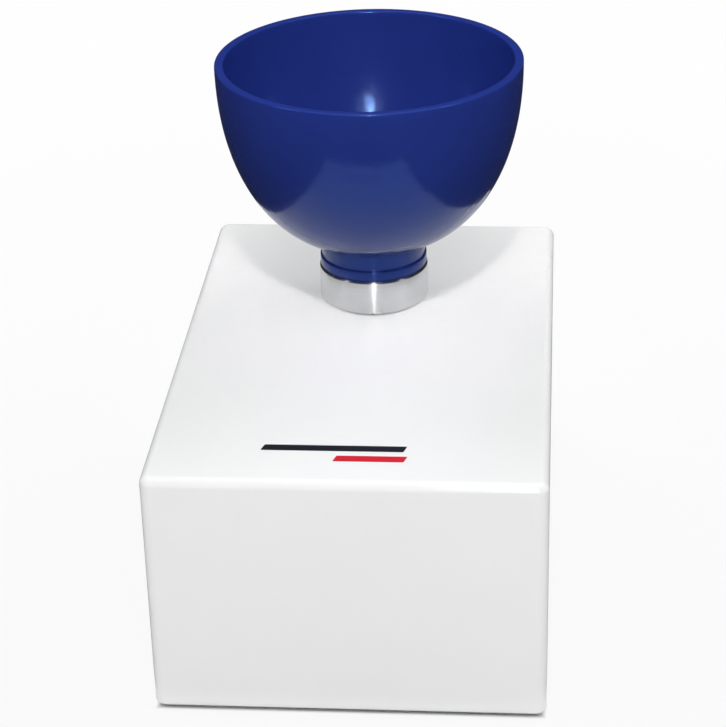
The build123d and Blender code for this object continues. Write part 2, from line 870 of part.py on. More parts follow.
bowl_top = case_top + bowl_rim_height
bowl_depth_outside = bowl_rim_height - bowl_base_rise
bowl_depth_inside = bowl_depth_outside - bowl_base_thickness
plug_radius = chuck_radius - chuck_wall - plug_gap
plug_bottom = chuck_seat + plug_gap
lip_bottom = chuck_top + plug_gap
lip_top = lip_bottom + bowl_lip_height
lip_round = bowl_lip_radius - bowl_waist_radius
outer_wall = bowl_curve(bowl_rim_radius, bowl_depth_outside, bowl_neck_radius)
inner_wall = bowl_curve(bowl_rim_radius - bowl_rim_wall, bowl_depth_inside, 0)
outer_points = [(radius, bowl_top - depth) for radius, depth in outer_wall]
inner_points = [(radius, bowl_top - depth) for radius, depth in inner_wall]
neck_point = outer_points[-1]

with BuildPart() as mixing_bowl:
    with BuildSketch(spindle_section):
        with BuildLine():
            Spline(*outer_points, tangents=[(0, -1), (-1, -bowl_neck_slope)])
            ThreePointArc(
                neck_point,
                (bowl_waist_radius + lip_round / 2, (neck_point[1] + lip_top) / 2),
                (bowl_waist_radius, lip_top + lip_round),
            )
            RadiusArc((bowl_waist_radius, lip_top + lip_round), (bowl_lip_radius, lip_top), -lip_round)
            Polyline(
                (bowl_lip_radius, lip_top),
                (bowl_lip_radius, lip_bottom + lip_round),
                (bowl_lip_radius - lip_round, lip_bottom),
                (plug_radius, lip_bottom),
                (plug_radius, plug_bottom),
                (plug_recess_radius, plug_bottom),
                (plug_recess_radius, plug_bottom + plug_recess_depth),
                (0, plug_bottom + plug_recess_depth),
                inner_points[-1],
            )
            Spline(*reversed(inner_points), tangents=[(1, 0), (0, 1)])
            Line(inner_points[0], outer_points[0])
        make_face()
    revolve(axis=spindle_axis)
    fillet(mixing_bowl.edges().group_by(Axis.Z)[-1], rim_edge_radius)

# ---------------------------------------------------------------- motor

with BuildPart() as motor_front_cap:
    front_cap_outline = [
        (bush_radius + fit_gap, frame_bottom),
        (motor_pilot_radius, frame_bottom),
        (motor_pilot_radius, frame_top),
        (motor_radius, frame_top),
        (motor_radius, can_bottom),
        (bush_radius + fit_gap, can_bottom),
    ]
    add(turned(motor_section, motor_axis, front_cap_outline).part)
    with BuildSketch(Plane.XY.offset(frame_top)):
        with Locations((0, motor_y)):
            with GridLocations(2 * motor_screw_half, 2 * motor_screw_half, 2, 2):
                Circle(medium_screw + thread_gap)
            with GridLocations(0, 2 * motor_bolt_circle, 1, 2):
                Circle(medium_screw + thread_gap)
    extrude(amount=front_cap_height, mode=Mode.SUBTRACT)

motor_can = turned(
    motor_section,
    motor_axis,
    [
        (can_inner, can_bottom),
        (motor_radius, can_bottom),
        (motor_radius, can_top),
        (can_inner, can_top),
    ],
)

holder_inner = commutator_radius + 3 * brush_gap + holder_wall
holder_half = brush_side / 2 + brush_gap + holder_wall
cap_plane = Plane(origin=(0, motor_y, brush_z), x_dir=(0, 1, 0), z_dir=(1, 0, 0))
with BuildPart() as motor_rear_cap:
    rear_cap_outline = [
        (motor_radius - cap_wall, can_top),
        (motor_radius, can_top),
        (motor_radius, motor_top),
        (bush_radius + fit_gap, motor_top),
        (bush_radius + fit_gap, motor_cavity_top),
        (motor_radius - cap_wall, motor_cavity_top),
    ]
    add(turned(motor_section, motor_axis, rear_cap_outline).part)
    # brush holders: square tubes that reach in from the wall on both sides
    for side in (-1, 1):
        with BuildSketch(cap_plane.offset(side * (motor_radius - cap_wall / 2))):
            Rectangle(2 * holder_half, 2 * holder_half)
        extrude(amount=-side * (motor_radius - cap_wall / 2 - holder_inner))
        with BuildSketch(cap_plane.offset(side * holder_inner)):
            Rectangle(brush_side + 2 * brush_gap, brush_side + 2 * brush_gap)
        extrude(amount=side * (motor_radius - holder_inner), mode=Mode.SUBTRACT)
        with BuildSketch(cap_plane.offset(side * (motor_radius - brush_cap_length))):
            Circle(brush_cap_radius + thread_gap)
        extrude(amount=side * 2 * brush_cap_length, mode=Mode.SUBTRACT)
    with BuildSketch(Plane.XY.offset(motor_cavity_top)):
        with Locations((0, motor_y)):
            with GridLocations(0, 2 * motor_bolt_circle, 1, 2):
                Circle(medium_screw + hole_gap)
    extrude(amount=rear_cap_end, mode=Mode.SUBTRACT)

with BuildPart() as motor_magnets:
    with BuildSketch(Plane.XY.offset(can_bottom + magnet_margin)):
        with Locations((0, motor_y)):
            Circle(can_inner - fit_gap)
            Circle(magnet_inner, mode=Mode.SUBTRACT)
            Rectangle(
                2 * magnet_inner * cos(radians(magnet_half_angle)),
                2 * motor_radius,
                mode=Mode.SUBTRACT,
            )
    extrude(amount=can_length - 2 * magnet_margin)

with BuildPart() as motor_bushes:
    for bush_bottom in (frame_bottom, motor_top - bush_length):
        with BuildSketch(Plane.XY.offset(bush_bottom)):
            with Locations((0, motor_y)):
                Circle(bush_radius)
                Circle(motor_shaft_radius + bush_gap, mode=Mode.SUBTRACT)
        extrude(amount=bush_length)

with BuildPart() as motor_brushes:
    for side in (-1, 1):
        with BuildSketch(cap_plane.offset(side * (commutator_radius + 3 * brush_gap))):
            Rectangle(brush_side, brush_side)
        extrude(amount=side * brush_length)

with BuildPart() as brush_caps:
    for side in (-1, 1):
        with BuildSketch(cap_plane.offset(side * motor_radius)):
            Circle(brush_cap_radius)
        extrude(amount=-side * brush_cap_length)
        with BuildSketch(cap_plane.offset(side * motor_radius)):
            Rectangle(2 * brush_cap_radius, brush_cap_radius / 4)
        extrude(amount=-side * brush_cap_length / 3, mode=Mode.SUBTRACT)

motor_bolts = screw_set(
    Plane.XY.offset(motor_top),
    [(0, motor_y - motor_bolt_circle), (0, motor_y + motor_bolt_circle)],
    medium_screw,
    motor_top - frame_top - fit_gap,
)

motor_screws = screw_set(
    Plane(origin=(0, 0, frame_bottom), x_dir=(1, 0, 0), z_dir=(0, 0, -1)),
    [(side * motor_screw_half, -motor_y + end * motor_screw_half) for side, end in corner_spots],
    medium_screw,
    frame_thickness + front_cap_height - fit_gap,
)

with BuildPart() as motor_shaft:
    with BuildSketch(Plane.XY.offset(motor_shaft_foot)):
        with Locations((0, motor_y)):
            Circle(motor_shaft_radius)
    extrude(amount=motor_top - motor_shaft_foot)

slot_radius = core_radius - slot_depth / 2
with BuildPart() as armature_core:
    with BuildSketch(Plane.XY.offset(core_bottom)):
        with Locations((0, motor_y)):
            Circle(core_radius)
            Circle(motor_shaft_radius + fit_gap, mode=Mode.SUBTRACT)
            with PolarLocations(slot_radius, slot_count):
                Rectangle(slot_depth, slot_width, mode=Mode.SUBTRACT)
    extrude(amount=core_length)

with BuildPart() as armature_windings:
    coil_inner = core_radius - slot_depth + winding_gap
    coil_outer = core_radius - winding_height / 4
    for coil_bottom in (core_bottom - winding_height, core_top):
        with BuildSketch(Plane.XY.offset(coil_bottom)):
            with Locations((0, motor_y)):
                Circle(coil_outer)
                Circle(winding_inner, mode=Mode.SUBTRACT)
        extrude(amount=winding_height)
    with BuildSketch(Plane.XY.offset(core_bottom - winding_height / 2)):
        with Locations((0, motor_y)):
            with PolarLocations((coil_inner + coil_outer) / 2, slot_count):
                Rectangle(coil_outer - coil_inner, slot_width - 2 * winding_gap)
    extrude(amount=core_length + winding_height)

with BuildPart() as commutator:
    with BuildSketch(Plane.XY.offset(commutator_bottom)):
        with Locations((0, motor_y)):
            Circle(commutator_radius)
            Circle(motor_shaft_radius + fit_gap, mode=Mode.SUBTRACT)
            with PolarLocations(commutator_radius, slot_count):
                Rectangle(brush_side / 3, 2 * brush_gap, mode=Mode.SUBTRACT)
    extrude(amount=commutator_length)

motor_hub_top = pulley_top + motor_hub_rise
motor_pulley_outline = [
    (motor_shaft_radius + fit_gap, pulley_bottom),
    (motor_rim_radius, pulley_bottom),
    *reversed(groove_outline(motor_pitch_radius)),
    (motor_rim_radius, pulley_top),
    (motor_hub_radius, pulley_top),
    (motor_hub_radius, motor_hub_top),
    (motor_shaft_radius + fit_gap, motor_hub_top),
]
motor_grub_z = pulley_top + motor_hub_rise / 2
with BuildPart() as motor_pulley:
    add(turned(motor_section, motor_axis, motor_pulley_outline).part)
    with BuildSketch(Plane(origin=(0, motor_y, motor_grub_z), x_dir=(0, 1, 0), z_dir=(1, 0, 0))):
        Circle(grub_radius + thread_gap)
    extrude(amount=motor_hub_radius, mode=Mode.SUBTRACT)

motor_pulley_screw = grub_screw(
    motor_y, motor_grub_z, motor_shaft_radius + fit_gap, motor_hub_radius - fit_gap
)

# ---------------------------------------------------------------- belt

with BuildPart() as drive_belt:
    pulley_ends = [(spindle_y, driven_pitch_radius), (motor_y, motor_pitch_radius)]
    with BuildSketch(Plane.XY.offset(belt_middle)):
        for end_y, pitch in pulley_ends:
            with Locations((0, end_y)):
                Circle(pitch + belt_thickness / 2)
        make_hull()
    extrude(amount=belt_width / 2, both=True)
    with BuildSketch(Plane.XY.offset(belt_middle)):
        for end_y, pitch in pulley_ends:
            with Locations((0, end_y)):
                Circle(pitch - belt_thickness / 2)
        make_hull()
    extrude(amount=belt_width, both=True, mode=Mode.SUBTRACT)
    for belt_side in (0, -1):
        belt_face = drive_belt.faces().filter_by(Axis.Z).sort_by(Axis.Z)[belt_side]
        chamfer(
            belt_face.inner_wires()[0].edges(),
            belt_thickness * belt_flank_share,
            belt_taper,
            reference=belt_face,
        )

# ---------------------------------------------------------------- control tray and rocker switch

with BuildPart() as control_tray:
    with BuildSketch(left_plane):
        RectangleRounded(
            tray_length + 2 * tray_flange, tray_height + 2 * tray_flange, tray_radius + tray_flange
        )
    extrude(amount=tray_flange_thickness)
    chamfer(
        control_tray.faces().sort_by(Axis.X)[0].edges(), tray_flange_thickness / 2
    )
    with BuildSketch(left_plane):
        RectangleRounded(tray_length, tray_height, tray_radius - tray_gap)
    extrude(amount=-tray_depth - tray_wall)
    # snap hooks behind the case wall
    with BuildSketch(left_plane.offset(-case_wall - tray_gap)):
        with GridLocations(tray_length / 2, 0, 2, 1):
            Rectangle(tray_hook_length, tray_height + 2 * (tray_gap + tray_hook))
    extrude(amount=-2 * tray_hook)
    with BuildSketch(left_plane.offset(tray_flange_thickness)):
        RectangleRounded(
            tray_length - 2 * tray_wall, tray_height - 2 * tray_wall, tray_radius - tray_wall
        )
    extrude(amount=-tray_depth - tray_flange_thickness, mode=Mode.SUBTRACT)
    with BuildSketch(switch_plane):
        Rectangle(
            bezel_width - 2 * bezel_step + 2 * fit_gap, bezel_height - 2 * bezel_step + 2 * fit_gap
        )
    extrude(amount=-tray_wall, mode=Mode.SUBTRACT)
    with BuildSketch(knob_plane):
        Circle(control_neck_radius + fit_gap)
    extrude(amount=-tray_wall, mode=Mode.SUBTRACT)

switch_width = bezel_width - 2 * bezel_step
switch_height = bezel_height - 2 * bezel_step
with BuildPart() as switch_housing:
    with BuildSketch(switch_plane):
        RectangleRounded(bezel_width, bezel_height, bezel_step)
    extrude(amount=bezel_thickness)
    chamfer(switch_housing.faces().sort_by(Axis.X)[0].edges(), bezel_thickness / 4)
    with BuildSketch(switch_plane):
        Rectangle(switch_width, switch_height)
    extrude(amount=-switch_depth)
    with BuildSketch(switch_plane.offset(bezel_thickness)):
        Rectangle(switch_width - 2 * switch_wall, switch_height - 2 * switch_wall)
    extrude(amount=-switch_cavity - bezel_thickness, mode=Mode.SUBTRACT)
    with BuildSketch(Plane(origin=(rocker_pivot_x, rocker_y, tray_z), x_dir=(-1, 0, 0), z_dir=(0, 1, 0))):
        Circle(rocker_pin_radius + lip_gap)
    extrude(amount=switch_width / 2, both=True, mode=Mode.SUBTRACT)

with BuildPart() as switch_tabs:
    with BuildSketch(switch_plane.offset(-switch_depth)):
        with GridLocations(switch_tab_pitch, 0, 2, 1):
            Rectangle(tab_thickness, tab_width)
    extrude(amount=-tab_length)

rocker_reach = switch_height / 2 - switch_wall - rocker_gap
rocker_plane = Plane(
    origin=(rocker_pivot_x, rocker_y, tray_z),
    x_dir=(-cos(radians(rocker_tilt)), 0, -sin(radians(rocker_tilt))),
    z_dir=(0, 1, 0),
)
with BuildPart() as power_rocker:
    face_half = sqrt(rocker_reach**2 - rocker_rise**2)
    skirt_half = sqrt(rocker_reach**2 - rocker_skirt**2)
    with BuildSketch(rocker_plane):
        with BuildLine():
            ThreePointArc((-rocker_skirt, skirt_half), (0, rocker_reach), (rocker_rise, face_half))
            ThreePointArc((rocker_rise, face_half), (rocker_dip, 0), (rocker_rise, -face_half))
            ThreePointArc((rocker_rise, -face_half), (0, -rocker_reach), (-rocker_skirt, -skirt_half))
            Line((-rocker_skirt, -skirt_half), (-rocker_skirt, skirt_half))
        make_face()
    extrude(amount=switch_width / 2 - switch_wall - rocker_gap, both=True)
    with BuildSketch(rocker_plane):
        Circle(rocker_pin_radius)
    extrude(amount=switch_width / 2 - fit_gap, both=True)

# ---------------------------------------------------------------- speed control and knob

with BuildPart() as speed_control:
    with BuildSketch(knob_plane.offset(-tray_wall)):
        Circle(control_body_radius)
    extrude(amount=-control_body_depth)
    with BuildSketch(knob_plane.offset(-tray_wall)):
        Circle(control_neck_radius)
    extrude(amount=control_neck_length)
    # three solder tabs below the body
    with BuildSketch(Plane(origin=(tray_back + control_body_depth / 2, knob_y, tray_z))):
        with GridLocations(0, control_tab_pitch, 1, 3):
            Rectangle(tab_thickness, control_tab_width)
    extrude(amount=-control_body_radius - tab_length / 2)
    with BuildSketch(knob_plane.offset(control_neck_length - tray_wall)):
        Circle(control_shaft_radius + lip_gap)
    extrude(amount=-control_neck_length - control_body_depth / 2, mode=Mode.SUBTRACT)
    # its nut on the tray's floor
    with BuildSketch(knob_plane):
        RegularPolygon(control_nut_flats / 2, 6, major_radius=False)
        Circle(control_neck_radius + thread_gap, mode=Mode.SUBTRACT)
    extrude(amount=control_nut_height)

with BuildPart() as speed_control_shaft:
    shaft_root = control_body_depth / 2 + tray_wall - 2 * lip_gap
    with BuildSketch(knob_plane.offset(-shaft_root)):
        Circle(control_shaft_radius)
    extrude(amount=shaft_root + knob_float + control_shaft_reach)

with BuildPart() as speed_knob:
    with BuildSketch(knob_plane.offset(knob_float)):
        Circle(knob_radius)
        with PolarLocations(knob_radius, knob_flutes):
            Circle(flute_radius, mode=Mode.SUBTRACT)
    extrude(amount=knob_height)
    chamfer(speed_knob.faces().sort_by(Axis.X)[0].edges(), knob_edge / 2)
    with BuildSketch(knob_plane.offset(knob_float)):
        Circle(knob_recess_radius)
    extrude(amount=knob_recess_depth, mode=Mode.SUBTRACT)
    with BuildSketch(knob_plane.offset(knob_float)):
        Circle(control_shaft_radius + fit_gap)
    extrude(amount=control_shaft_reach + fit_gap, mode=Mode.SUBTRACT)
    with BuildSketch(knob_plane.offset(knob_float + knob_height)):
        with PolarLocations(knob_radius - knob_edge - pointer_length / 2 - flute_radius, 1, knob_start):
            Rectangle(pointer_length, pointer_width)
    extrude(amount=-pointer_depth, mode=Mode.SUBTRACT)

# ---------------------------------------------------------------- power inlet, fuse and drawer

with BuildPart() as power_inlet:
    with BuildSketch(inlet_plane):
        RectangleRounded(inlet_flange_width, inlet_flange_height, inlet_flange_radius)
    extrude(amount=inlet_flange_thickness)
    chamfer(power_inlet.faces().sort_by(Axis.Y)[-1].edges(), inlet_flange_thickness / 4)
    with BuildSketch(inlet_plane):
        Rectangle(inlet_body_width, inlet_body_height)
    extrude(amount=-inlet_body_depth)
    with BuildSketch(inlet_front) as socket:
        with Locations((0, socket_rise)):
            Rectangle(socket_width, socket_height)
        chamfer(socket.vertices().group_by(Axis.Y)[-1], socket_chamfer)
    extrude(amount=-socket_depth, mode=Mode.SUBTRACT)
    with BuildSketch(inlet_front):
        with Locations((0, -drawer_drop)):
            Rectangle(drawer_width, drawer_height)
    extrude(amount=-drawer_depth - drawer_gap, mode=Mode.SUBTRACT)
    with BuildSketch(inlet_plane):
        with Locations(*pin_spots):
            Rectangle(pin_width + 2 * fit_gap, pin_height + 2 * fit_gap)
    extrude(amount=-inlet_body_depth, mode=Mode.SUBTRACT)
    with Locations(inlet_front):
        with GridLocations(2 * inlet_screw_half, 0, 2, 1):
            CounterSinkHole(
                small_screw + hole_gap,
                small_screw * head_ratio + fit_gap,
                depth=inlet_flange_thickness,
                counter_sink_angle=90,
            )

inlet_tab_y = inlet_back - tab_length
with BuildPart() as inlet_pins:
    with BuildSketch(Plane(origin=(inlet_x, inlet_tab_y, inlet_z), x_dir=(-1, 0, 0), z_dir=(0, 1, 0))):
        with Locations(*pin_spots):
            Rectangle(pin_width, pin_height)
    extrude(amount=socket_floor + pin_length - inlet_tab_y)

with BuildPart(inlet_front) as inlet_screws:
    countersink_depth = small_screw * (head_ratio - 1)
    flush = (Align.CENTER, Align.CENTER, Align.MAX)
    with GridLocations(2 * inlet_screw_half, 0, 2, 1):
        Cone(small_screw, small_screw * head_ratio, countersink_depth, align=flush)
        Cylinder(small_screw, inlet_screw_length, align=flush)
    with BuildSketch(inlet_front):
        with GridLocations(2 * inlet_screw_half, 0, 2, 1):
            RegularPolygon(small_screw * socket_ratio, 6)
    extrude(amount=-countersink_depth * socket_depth_share, mode=Mode.SUBTRACT)

fuse_z = inlet_z - drawer_drop
fuse_y = inlet_face - fuse_depth
drawer_plane = Plane(origin=(inlet_x, inlet_face, fuse_z), x_dir=(-1, 0, 0), z_dir=(0, 1, 0))
with BuildPart() as fuse_drawer:
    with BuildSketch(drawer_plane):
        Rectangle(drawer_width - 2 * drawer_gap, drawer_height - 2 * drawer_gap)
    extrude(amount=-drawer_depth)
    # trough for the fuse, open upwards
    with BuildSketch(Plane(origin=(inlet_x, fuse_y, fuse_z))):
        Rectangle(fuse_length + 2 * fuse_gap, 2 * (fuse_radius + fuse_gap))
    extrude(amount=drawer_height, mode=Mode.SUBTRACT)
    with BuildSketch(Plane(origin=(inlet_x, fuse_y, fuse_z), x_dir=(0, 1, 0), z_dir=(1, 0, 0))):
        Circle(fuse_radius + fuse_gap)
    extrude(amount=fuse_length / 2 + fuse_gap, both=True, mode=Mode.SUBTRACT)
    # finger notch in the front
    with BuildSketch(Plane(origin=(inlet_x, inlet_face, fuse_z))):
        with BuildLine():
            RadiusArc((-drawer_height, 0), (drawer_height, 0), -2 * drawer_height)
            Line((drawer_height, 0), (-drawer_height, 0))
        make_face()
    extrude(amount=drawer_height / 4, both=True, mode=Mode.SUBTRACT)

fuse_plane = Plane(origin=(inlet_x, fuse_y, fuse_z), x_dir=(0, 1, 0), z_dir=(1, 0, 0))
with BuildPart() as fuse:
    with BuildSketch(fuse_plane):
        Circle(fuse_radius)
    extrude(amount=fuse_length / 2, both=True)
    # the glass between the end caps is a little thinner
    with BuildSketch(fuse_plane):
        Circle(fuse_radius)
        Circle(fuse_radius - fuse_cap_wall, mode=Mode.SUBTRACT)
    extrude(amount=fuse_length / 2 - fuse_cap_length, both=True, mode=Mode.SUBTRACT)

# ---------------------------------------------------------------- control board

with BuildPart() as control_board:
    with BuildSketch(Plane.XY.offset(board_bottom)):
        with Locations((board_x, board_y)):
            RectangleRounded(board_width, board_length, post_margin / 2)
            with GridLocations(board_width - 2 * post_margin, board_length - 2 * post_margin, 2, 2):
                Circle(small_screw + hole_gap, mode=Mode.SUBTRACT)
    extrude(amount=board_thickness)

with BuildPart() as board_posts:
    with BuildSketch(Plane.XY.offset(plate_top)):
        with Locations((board_x, board_y)):
            with GridLocations(board_width - 2 * post_margin, board_length - 2 * post_margin, 2, 2):
                Circle(post_radius)
                Circle(small_screw + thread_gap, mode=Mode.SUBTRACT)
    extrude(amount=post_height)

board_screws = screw_set(
    Plane.XY.offset(board_top),
    [
        (
            board_x + side * (board_width / 2 - post_margin),
            board_y + end * (board_length / 2 - post_margin),
        )
        for side, end in corner_spots
    ],
    small_screw,
    board_thickness + post_height - fit_gap,
)

with BuildPart() as terminal_block:
    with BuildSketch(Plane.XY.offset(board_top)):
        with Locations((block_left + block_width / 2, (block_front + block_rear) / 2)):
            Rectangle(block_width, block_rear - block_front)
    extrude(amount=block_height)
    with BuildSketch(Plane(origin=(block_left, 0, port_z), x_dir=(0, 1, 0), z_dir=(1, 0, 0))):
        with Locations(*[(y, 0) for y in port_ys]):
            Circle(lead_radius + port_gap)
    extrude(amount=block_width / 2, mode=Mode.SUBTRACT)

sink_x = board_x + board_width / 2 - block_margin - sink_width / 2
sink_y = board_y - board_length / 2 + 2 * post_margin + sink_length / 2
with BuildPart() as heat_sink:
    with BuildSketch(Plane.XY.offset(board_top)):
        with Locations((sink_x, sink_y)):
            Rectangle(sink_width, sink_length)
    extrude(amount=sink_base)
    with BuildSketch(Plane.XY.offset(board_top)):
        with Locations((sink_x, sink_y)):
            with GridLocations((sink_width - fin_thickness) / (fin_count - 1), 0, fin_count, 1):
                Rectangle(fin_thickness, sink_length)
    extrude(amount=sink_height)

# ---------------------------------------------------------------- leads

ramp = port_z - lead_floor
port_x = block_left + block_width / 2 - port_gap
switch_tab_x = switch_back + tab_length
riser_x = switch_tab_x + lead_bend
live_y = rocker_y - switch_tab_pitch / 2
control_tab_x = tray_back + control_body_depth / 2
control_tab_z = tray_z - control_body_radius - tab_length / 2
pin_z = inlet_z + socket_rise - pin_drop
live_x = inlet_x - pin_pitch / 2
neutral_x = inlet_x + pin_pitch / 2
outer_lane = left_face + case_wall + supply_lane
inner_lane = left_face + case_wall + neutral_lane
small_bend = lead_bend / 2


def run_to_port(y):
    """The last points of a lead that crosses the case and enters its port."""
    return [
        (block_left - 2 * ramp, y, lead_floor),
        (block_left - ramp, y, port_z),
        (port_x, y, port_z),
    ]


live_lead = [
    (live_x, inlet_tab_y, pin_z),
    (live_x, inlet_tab_y - 2.5 * lead_bend, pin_z),
    (outer_lane, inlet_tab_y - 5 * lead_bend, lead_floor),
    (outer_lane, live_y + 2 * lead_bend, lead_floor),
    (riser_x, live_y, lead_floor),
    (riser_x, live_y, tray_z),
    (switch_tab_x, live_y, tray_z),
]
switched_lead = [
    (switch_tab_x, switched_y, tray_z),
    (riser_x, switched_y, tray_z),
    (riser_x, switched_y, lead_floor),
    *run_to_port(switched_y),
]
neutral_lead = [
    (neutral_x, inlet_tab_y, pin_z),
    (neutral_x, inlet_tab_y - 1.6 * lead_bend, pin_z),
    (neutral_x, inlet_tab_y - 1.6 * lead_bend, lead_floor),
    (inner_lane, inlet_tab_y - 6 * lead_bend, lead_floor),
    (inner_lane, neutral_y, lead_floor),
    *run_to_port(neutral_y),
]
supply_leads = leads(
    [
        (live_lead, [lead_bend] * 4 + [small_bend]),
        (switched_lead, [small_bend] + [lead_bend] * 3),
        (neutral_lead, [lead_bend] * 6),
    ]
)

control_leads = leads(
    [
        (
            [
                (control_tab_x, y, control_tab_z),
                (control_tab_x, y, lead_floor),
                *run_to_port(y),
            ],
            [lead_bend] * 3,
        )
        for y in control_lead_ys
    ]
)

motor_lead_x = block_left + block_width + 2 * lead_radius
motor_lead_z = motor_cavity_top - 3 * lead_radius
motor_lead_start = sqrt(motor_radius**2 - (2 * lead_bend - lead_radius) ** 2)
motor_leads = leads(
    [
        (
            [
                (motor_lead_start, motor_y + side * 2 * lead_bend, motor_lead_z),
                (motor_lead_x, motor_y + side * 2 * lead_bend, motor_lead_z),
                (motor_lead_x, motor_y + side * 2 * lead_bend, board_top),
            ],
            [lead_bend],
        )
        for side in (-1, 1)
    ]
)

# ---------------------------------------------------------------- write every piece

pieces = {
    "case_shell": case_shell,
    "base_plate": base_plate,
    "rubber_feet": rubber_feet,
    "foot_screws": foot_screws,
    "base_screws": base_screws,
    "drive_frame": drive_frame,
    "frame_pillars": frame_pillars,
    "pillar_screws": pillar_screws,
    "bearing_housing": bearing_housing,
    "housing_screws": housing_screws,
    "housing_rings": housing_rings,
    "shaft_seal": shaft_seal,
    "bearing_outer_races": bearing_outer_races,
    "bearing_inner_races": bearing_inner_races,
    "bearing_balls": bearing_balls,
    "bearing_cages": bearing_cages,
    "spindle_shaft": spindle_shaft,
    "spindle_rings": spindle_rings,
    "spindle_spacer": spindle_spacer,
    "driven_pulley": driven_pulley,
    "driven_pulley_screw": driven_pulley_screw,
    "chuck_ring": chuck_ring,
    "chuck_screw": chuck_screw,
    "mixing_bowl": mixing_bowl,
    "motor_front_cap": motor_front_cap,
    "motor_can": motor_can,
    "motor_rear_cap": motor_rear_cap,
    "motor_magnets": motor_magnets,
    "motor_bushes": motor_bushes,
    "motor_brushes": motor_brushes,
    "brush_caps": brush_caps,
    "motor_bolts": motor_bolts,
    "motor_screws": motor_screws,
    "motor_shaft": motor_shaft,
    "armature_core": armature_core,
    "armature_windings": armature_windings,
    "commutator": commutator,
    "motor_pulley": motor_pulley,
    "motor_pulley_screw": motor_pulley_screw,
    "drive_belt": drive_belt,
    "control_tray": control_tray,
    "switch_housing": switch_housing,
    "switch_tabs": switch_tabs,
    "power_rocker": power_rocker,
    "speed_control": speed_control,
    "speed_control_shaft": speed_control_shaft,
    "speed_knob": speed_knob,
    "power_inlet": power_inlet,
    "inlet_pins": inlet_pins,
    "inlet_screws": inlet_screws,
    "fuse_drawer": fuse_drawer,
    "fuse": fuse,
    "control_board": control_board,
    "board_posts": board_posts,
    "board_screws": board_screws,
    "terminal_block": terminal_block,
    "heat_sink": heat_sink,
    "supply_leads": supply_leads,
    "control_leads": control_leads,
    "motor_leads": motor_leads,
}

os.makedirs("parts", exist_ok=True)
for label, piece in pieces.items():
    piece.part.label = label
    export_step(piece.part, f"parts/{label}.step")
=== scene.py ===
import json
import math
import bpy
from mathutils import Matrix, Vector

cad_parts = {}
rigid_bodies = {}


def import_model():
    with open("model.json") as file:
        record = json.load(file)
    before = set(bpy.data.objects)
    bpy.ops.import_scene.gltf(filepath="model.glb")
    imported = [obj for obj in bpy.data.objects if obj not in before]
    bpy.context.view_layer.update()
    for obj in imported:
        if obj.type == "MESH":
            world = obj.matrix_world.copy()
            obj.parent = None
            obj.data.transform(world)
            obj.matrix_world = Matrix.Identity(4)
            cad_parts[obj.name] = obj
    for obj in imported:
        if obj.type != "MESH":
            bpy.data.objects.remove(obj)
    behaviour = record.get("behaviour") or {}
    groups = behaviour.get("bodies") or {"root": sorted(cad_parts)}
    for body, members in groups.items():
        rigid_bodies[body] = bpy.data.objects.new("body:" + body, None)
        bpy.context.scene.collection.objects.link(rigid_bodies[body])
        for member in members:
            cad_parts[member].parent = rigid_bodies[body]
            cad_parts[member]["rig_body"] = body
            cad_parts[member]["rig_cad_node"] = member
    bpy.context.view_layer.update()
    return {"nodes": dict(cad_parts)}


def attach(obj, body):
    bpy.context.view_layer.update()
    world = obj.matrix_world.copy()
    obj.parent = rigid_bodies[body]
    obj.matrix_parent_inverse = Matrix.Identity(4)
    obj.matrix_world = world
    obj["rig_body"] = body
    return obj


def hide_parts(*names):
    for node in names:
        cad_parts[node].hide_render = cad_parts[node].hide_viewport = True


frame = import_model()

mm = 0.001
nodes = frame["nodes"]
print("frame loaded:", len(nodes), "nodes")

# lengths are in mm and angles in degrees, unless a note says otherwise
spindleY = 50.2  # the bowl and its ring turn about this upright line
caseTop = 115.0
colourA, colourB, colourOut = 6, 7, 2  # the sockets of a mix of colours


# small helpers

def linear(hexColour):
    # sRGB hex to the linear colour that a shader takes
    parts = [int(hexColour[i:i + 2], 16) / 255 for i in (1, 3, 5)]
    return tuple(c / 12.92 if c <= 0.04045 else ((c + 0.055) / 1.055) ** 2.4 for c in parts) + (1.0,)


def shade(hexColour, factor, lift=0.0):
    # the linear colour made darker or paler by a factor, then lifted by a step
    return tuple(min(1.0, factor * c + lift) for c in linear(hexColour)[:3]) + (1.0,)


def perMm(size):
    # the scale at which a pattern has patches of this size
    return 1 / (size * mm)


def addNode(material, kind, settings=None, links=None):
    # adds one node, sets its properties and sockets, and links other nodes' sockets to it
    tree = material.node_tree
    node = tree.nodes.new(kind)
    for key, value in (settings or {}).items():
        if isinstance(key, str) and hasattr(node, key):
            setattr(node, key, value)
        else:
            node.inputs[key].default_value = value
    for key, socket in (links or {}).items():
        tree.links.new(socket, node.inputs[key])
    return node


def blankMaterial(name):
    material = bpy.data.materials.new(name)
    material.use_nodes = True
    material.node_tree.nodes.clear()
    return material


def finishMaterial(material, surface):
    addNode(material, "ShaderNodeOutputMaterial", links={"Surface": surface})
    return material


def paint(piece, material):
    piece.data.materials.clear()
    piece.data.materials.append(material)
    for face in piece.data.polygons:
        face.material_index = 0


def deselect():
    if bpy.context.mode != "OBJECT":
        bpy.ops.object.mode_set(mode="OBJECT")
    bpy.ops.object.select_all(action="DESELECT")


def pick(piece):
    deselect()
    piece.select_set(True)
    bpy.context.view_layer.objects.active = piece


def settle(piece):
    # leaves the object at the origin, with its place in its mesh
    pick(piece)
    bpy.ops.object.transform_apply(location=True, rotation=True, scale=True)


def smooth(piece, angle):
    pick(piece)
    bpy.ops.object.shade_smooth_by_angle(angle=math.radians(angle))


def modify(piece, kind, **settings):
    pick(piece)
    modifier = piece.modifiers.new(kind.title(), kind)
    for key, value in settings.items():
        setattr(modifier, key, value)
    bpy.ops.object.modifier_apply(modifier=modifier.name)


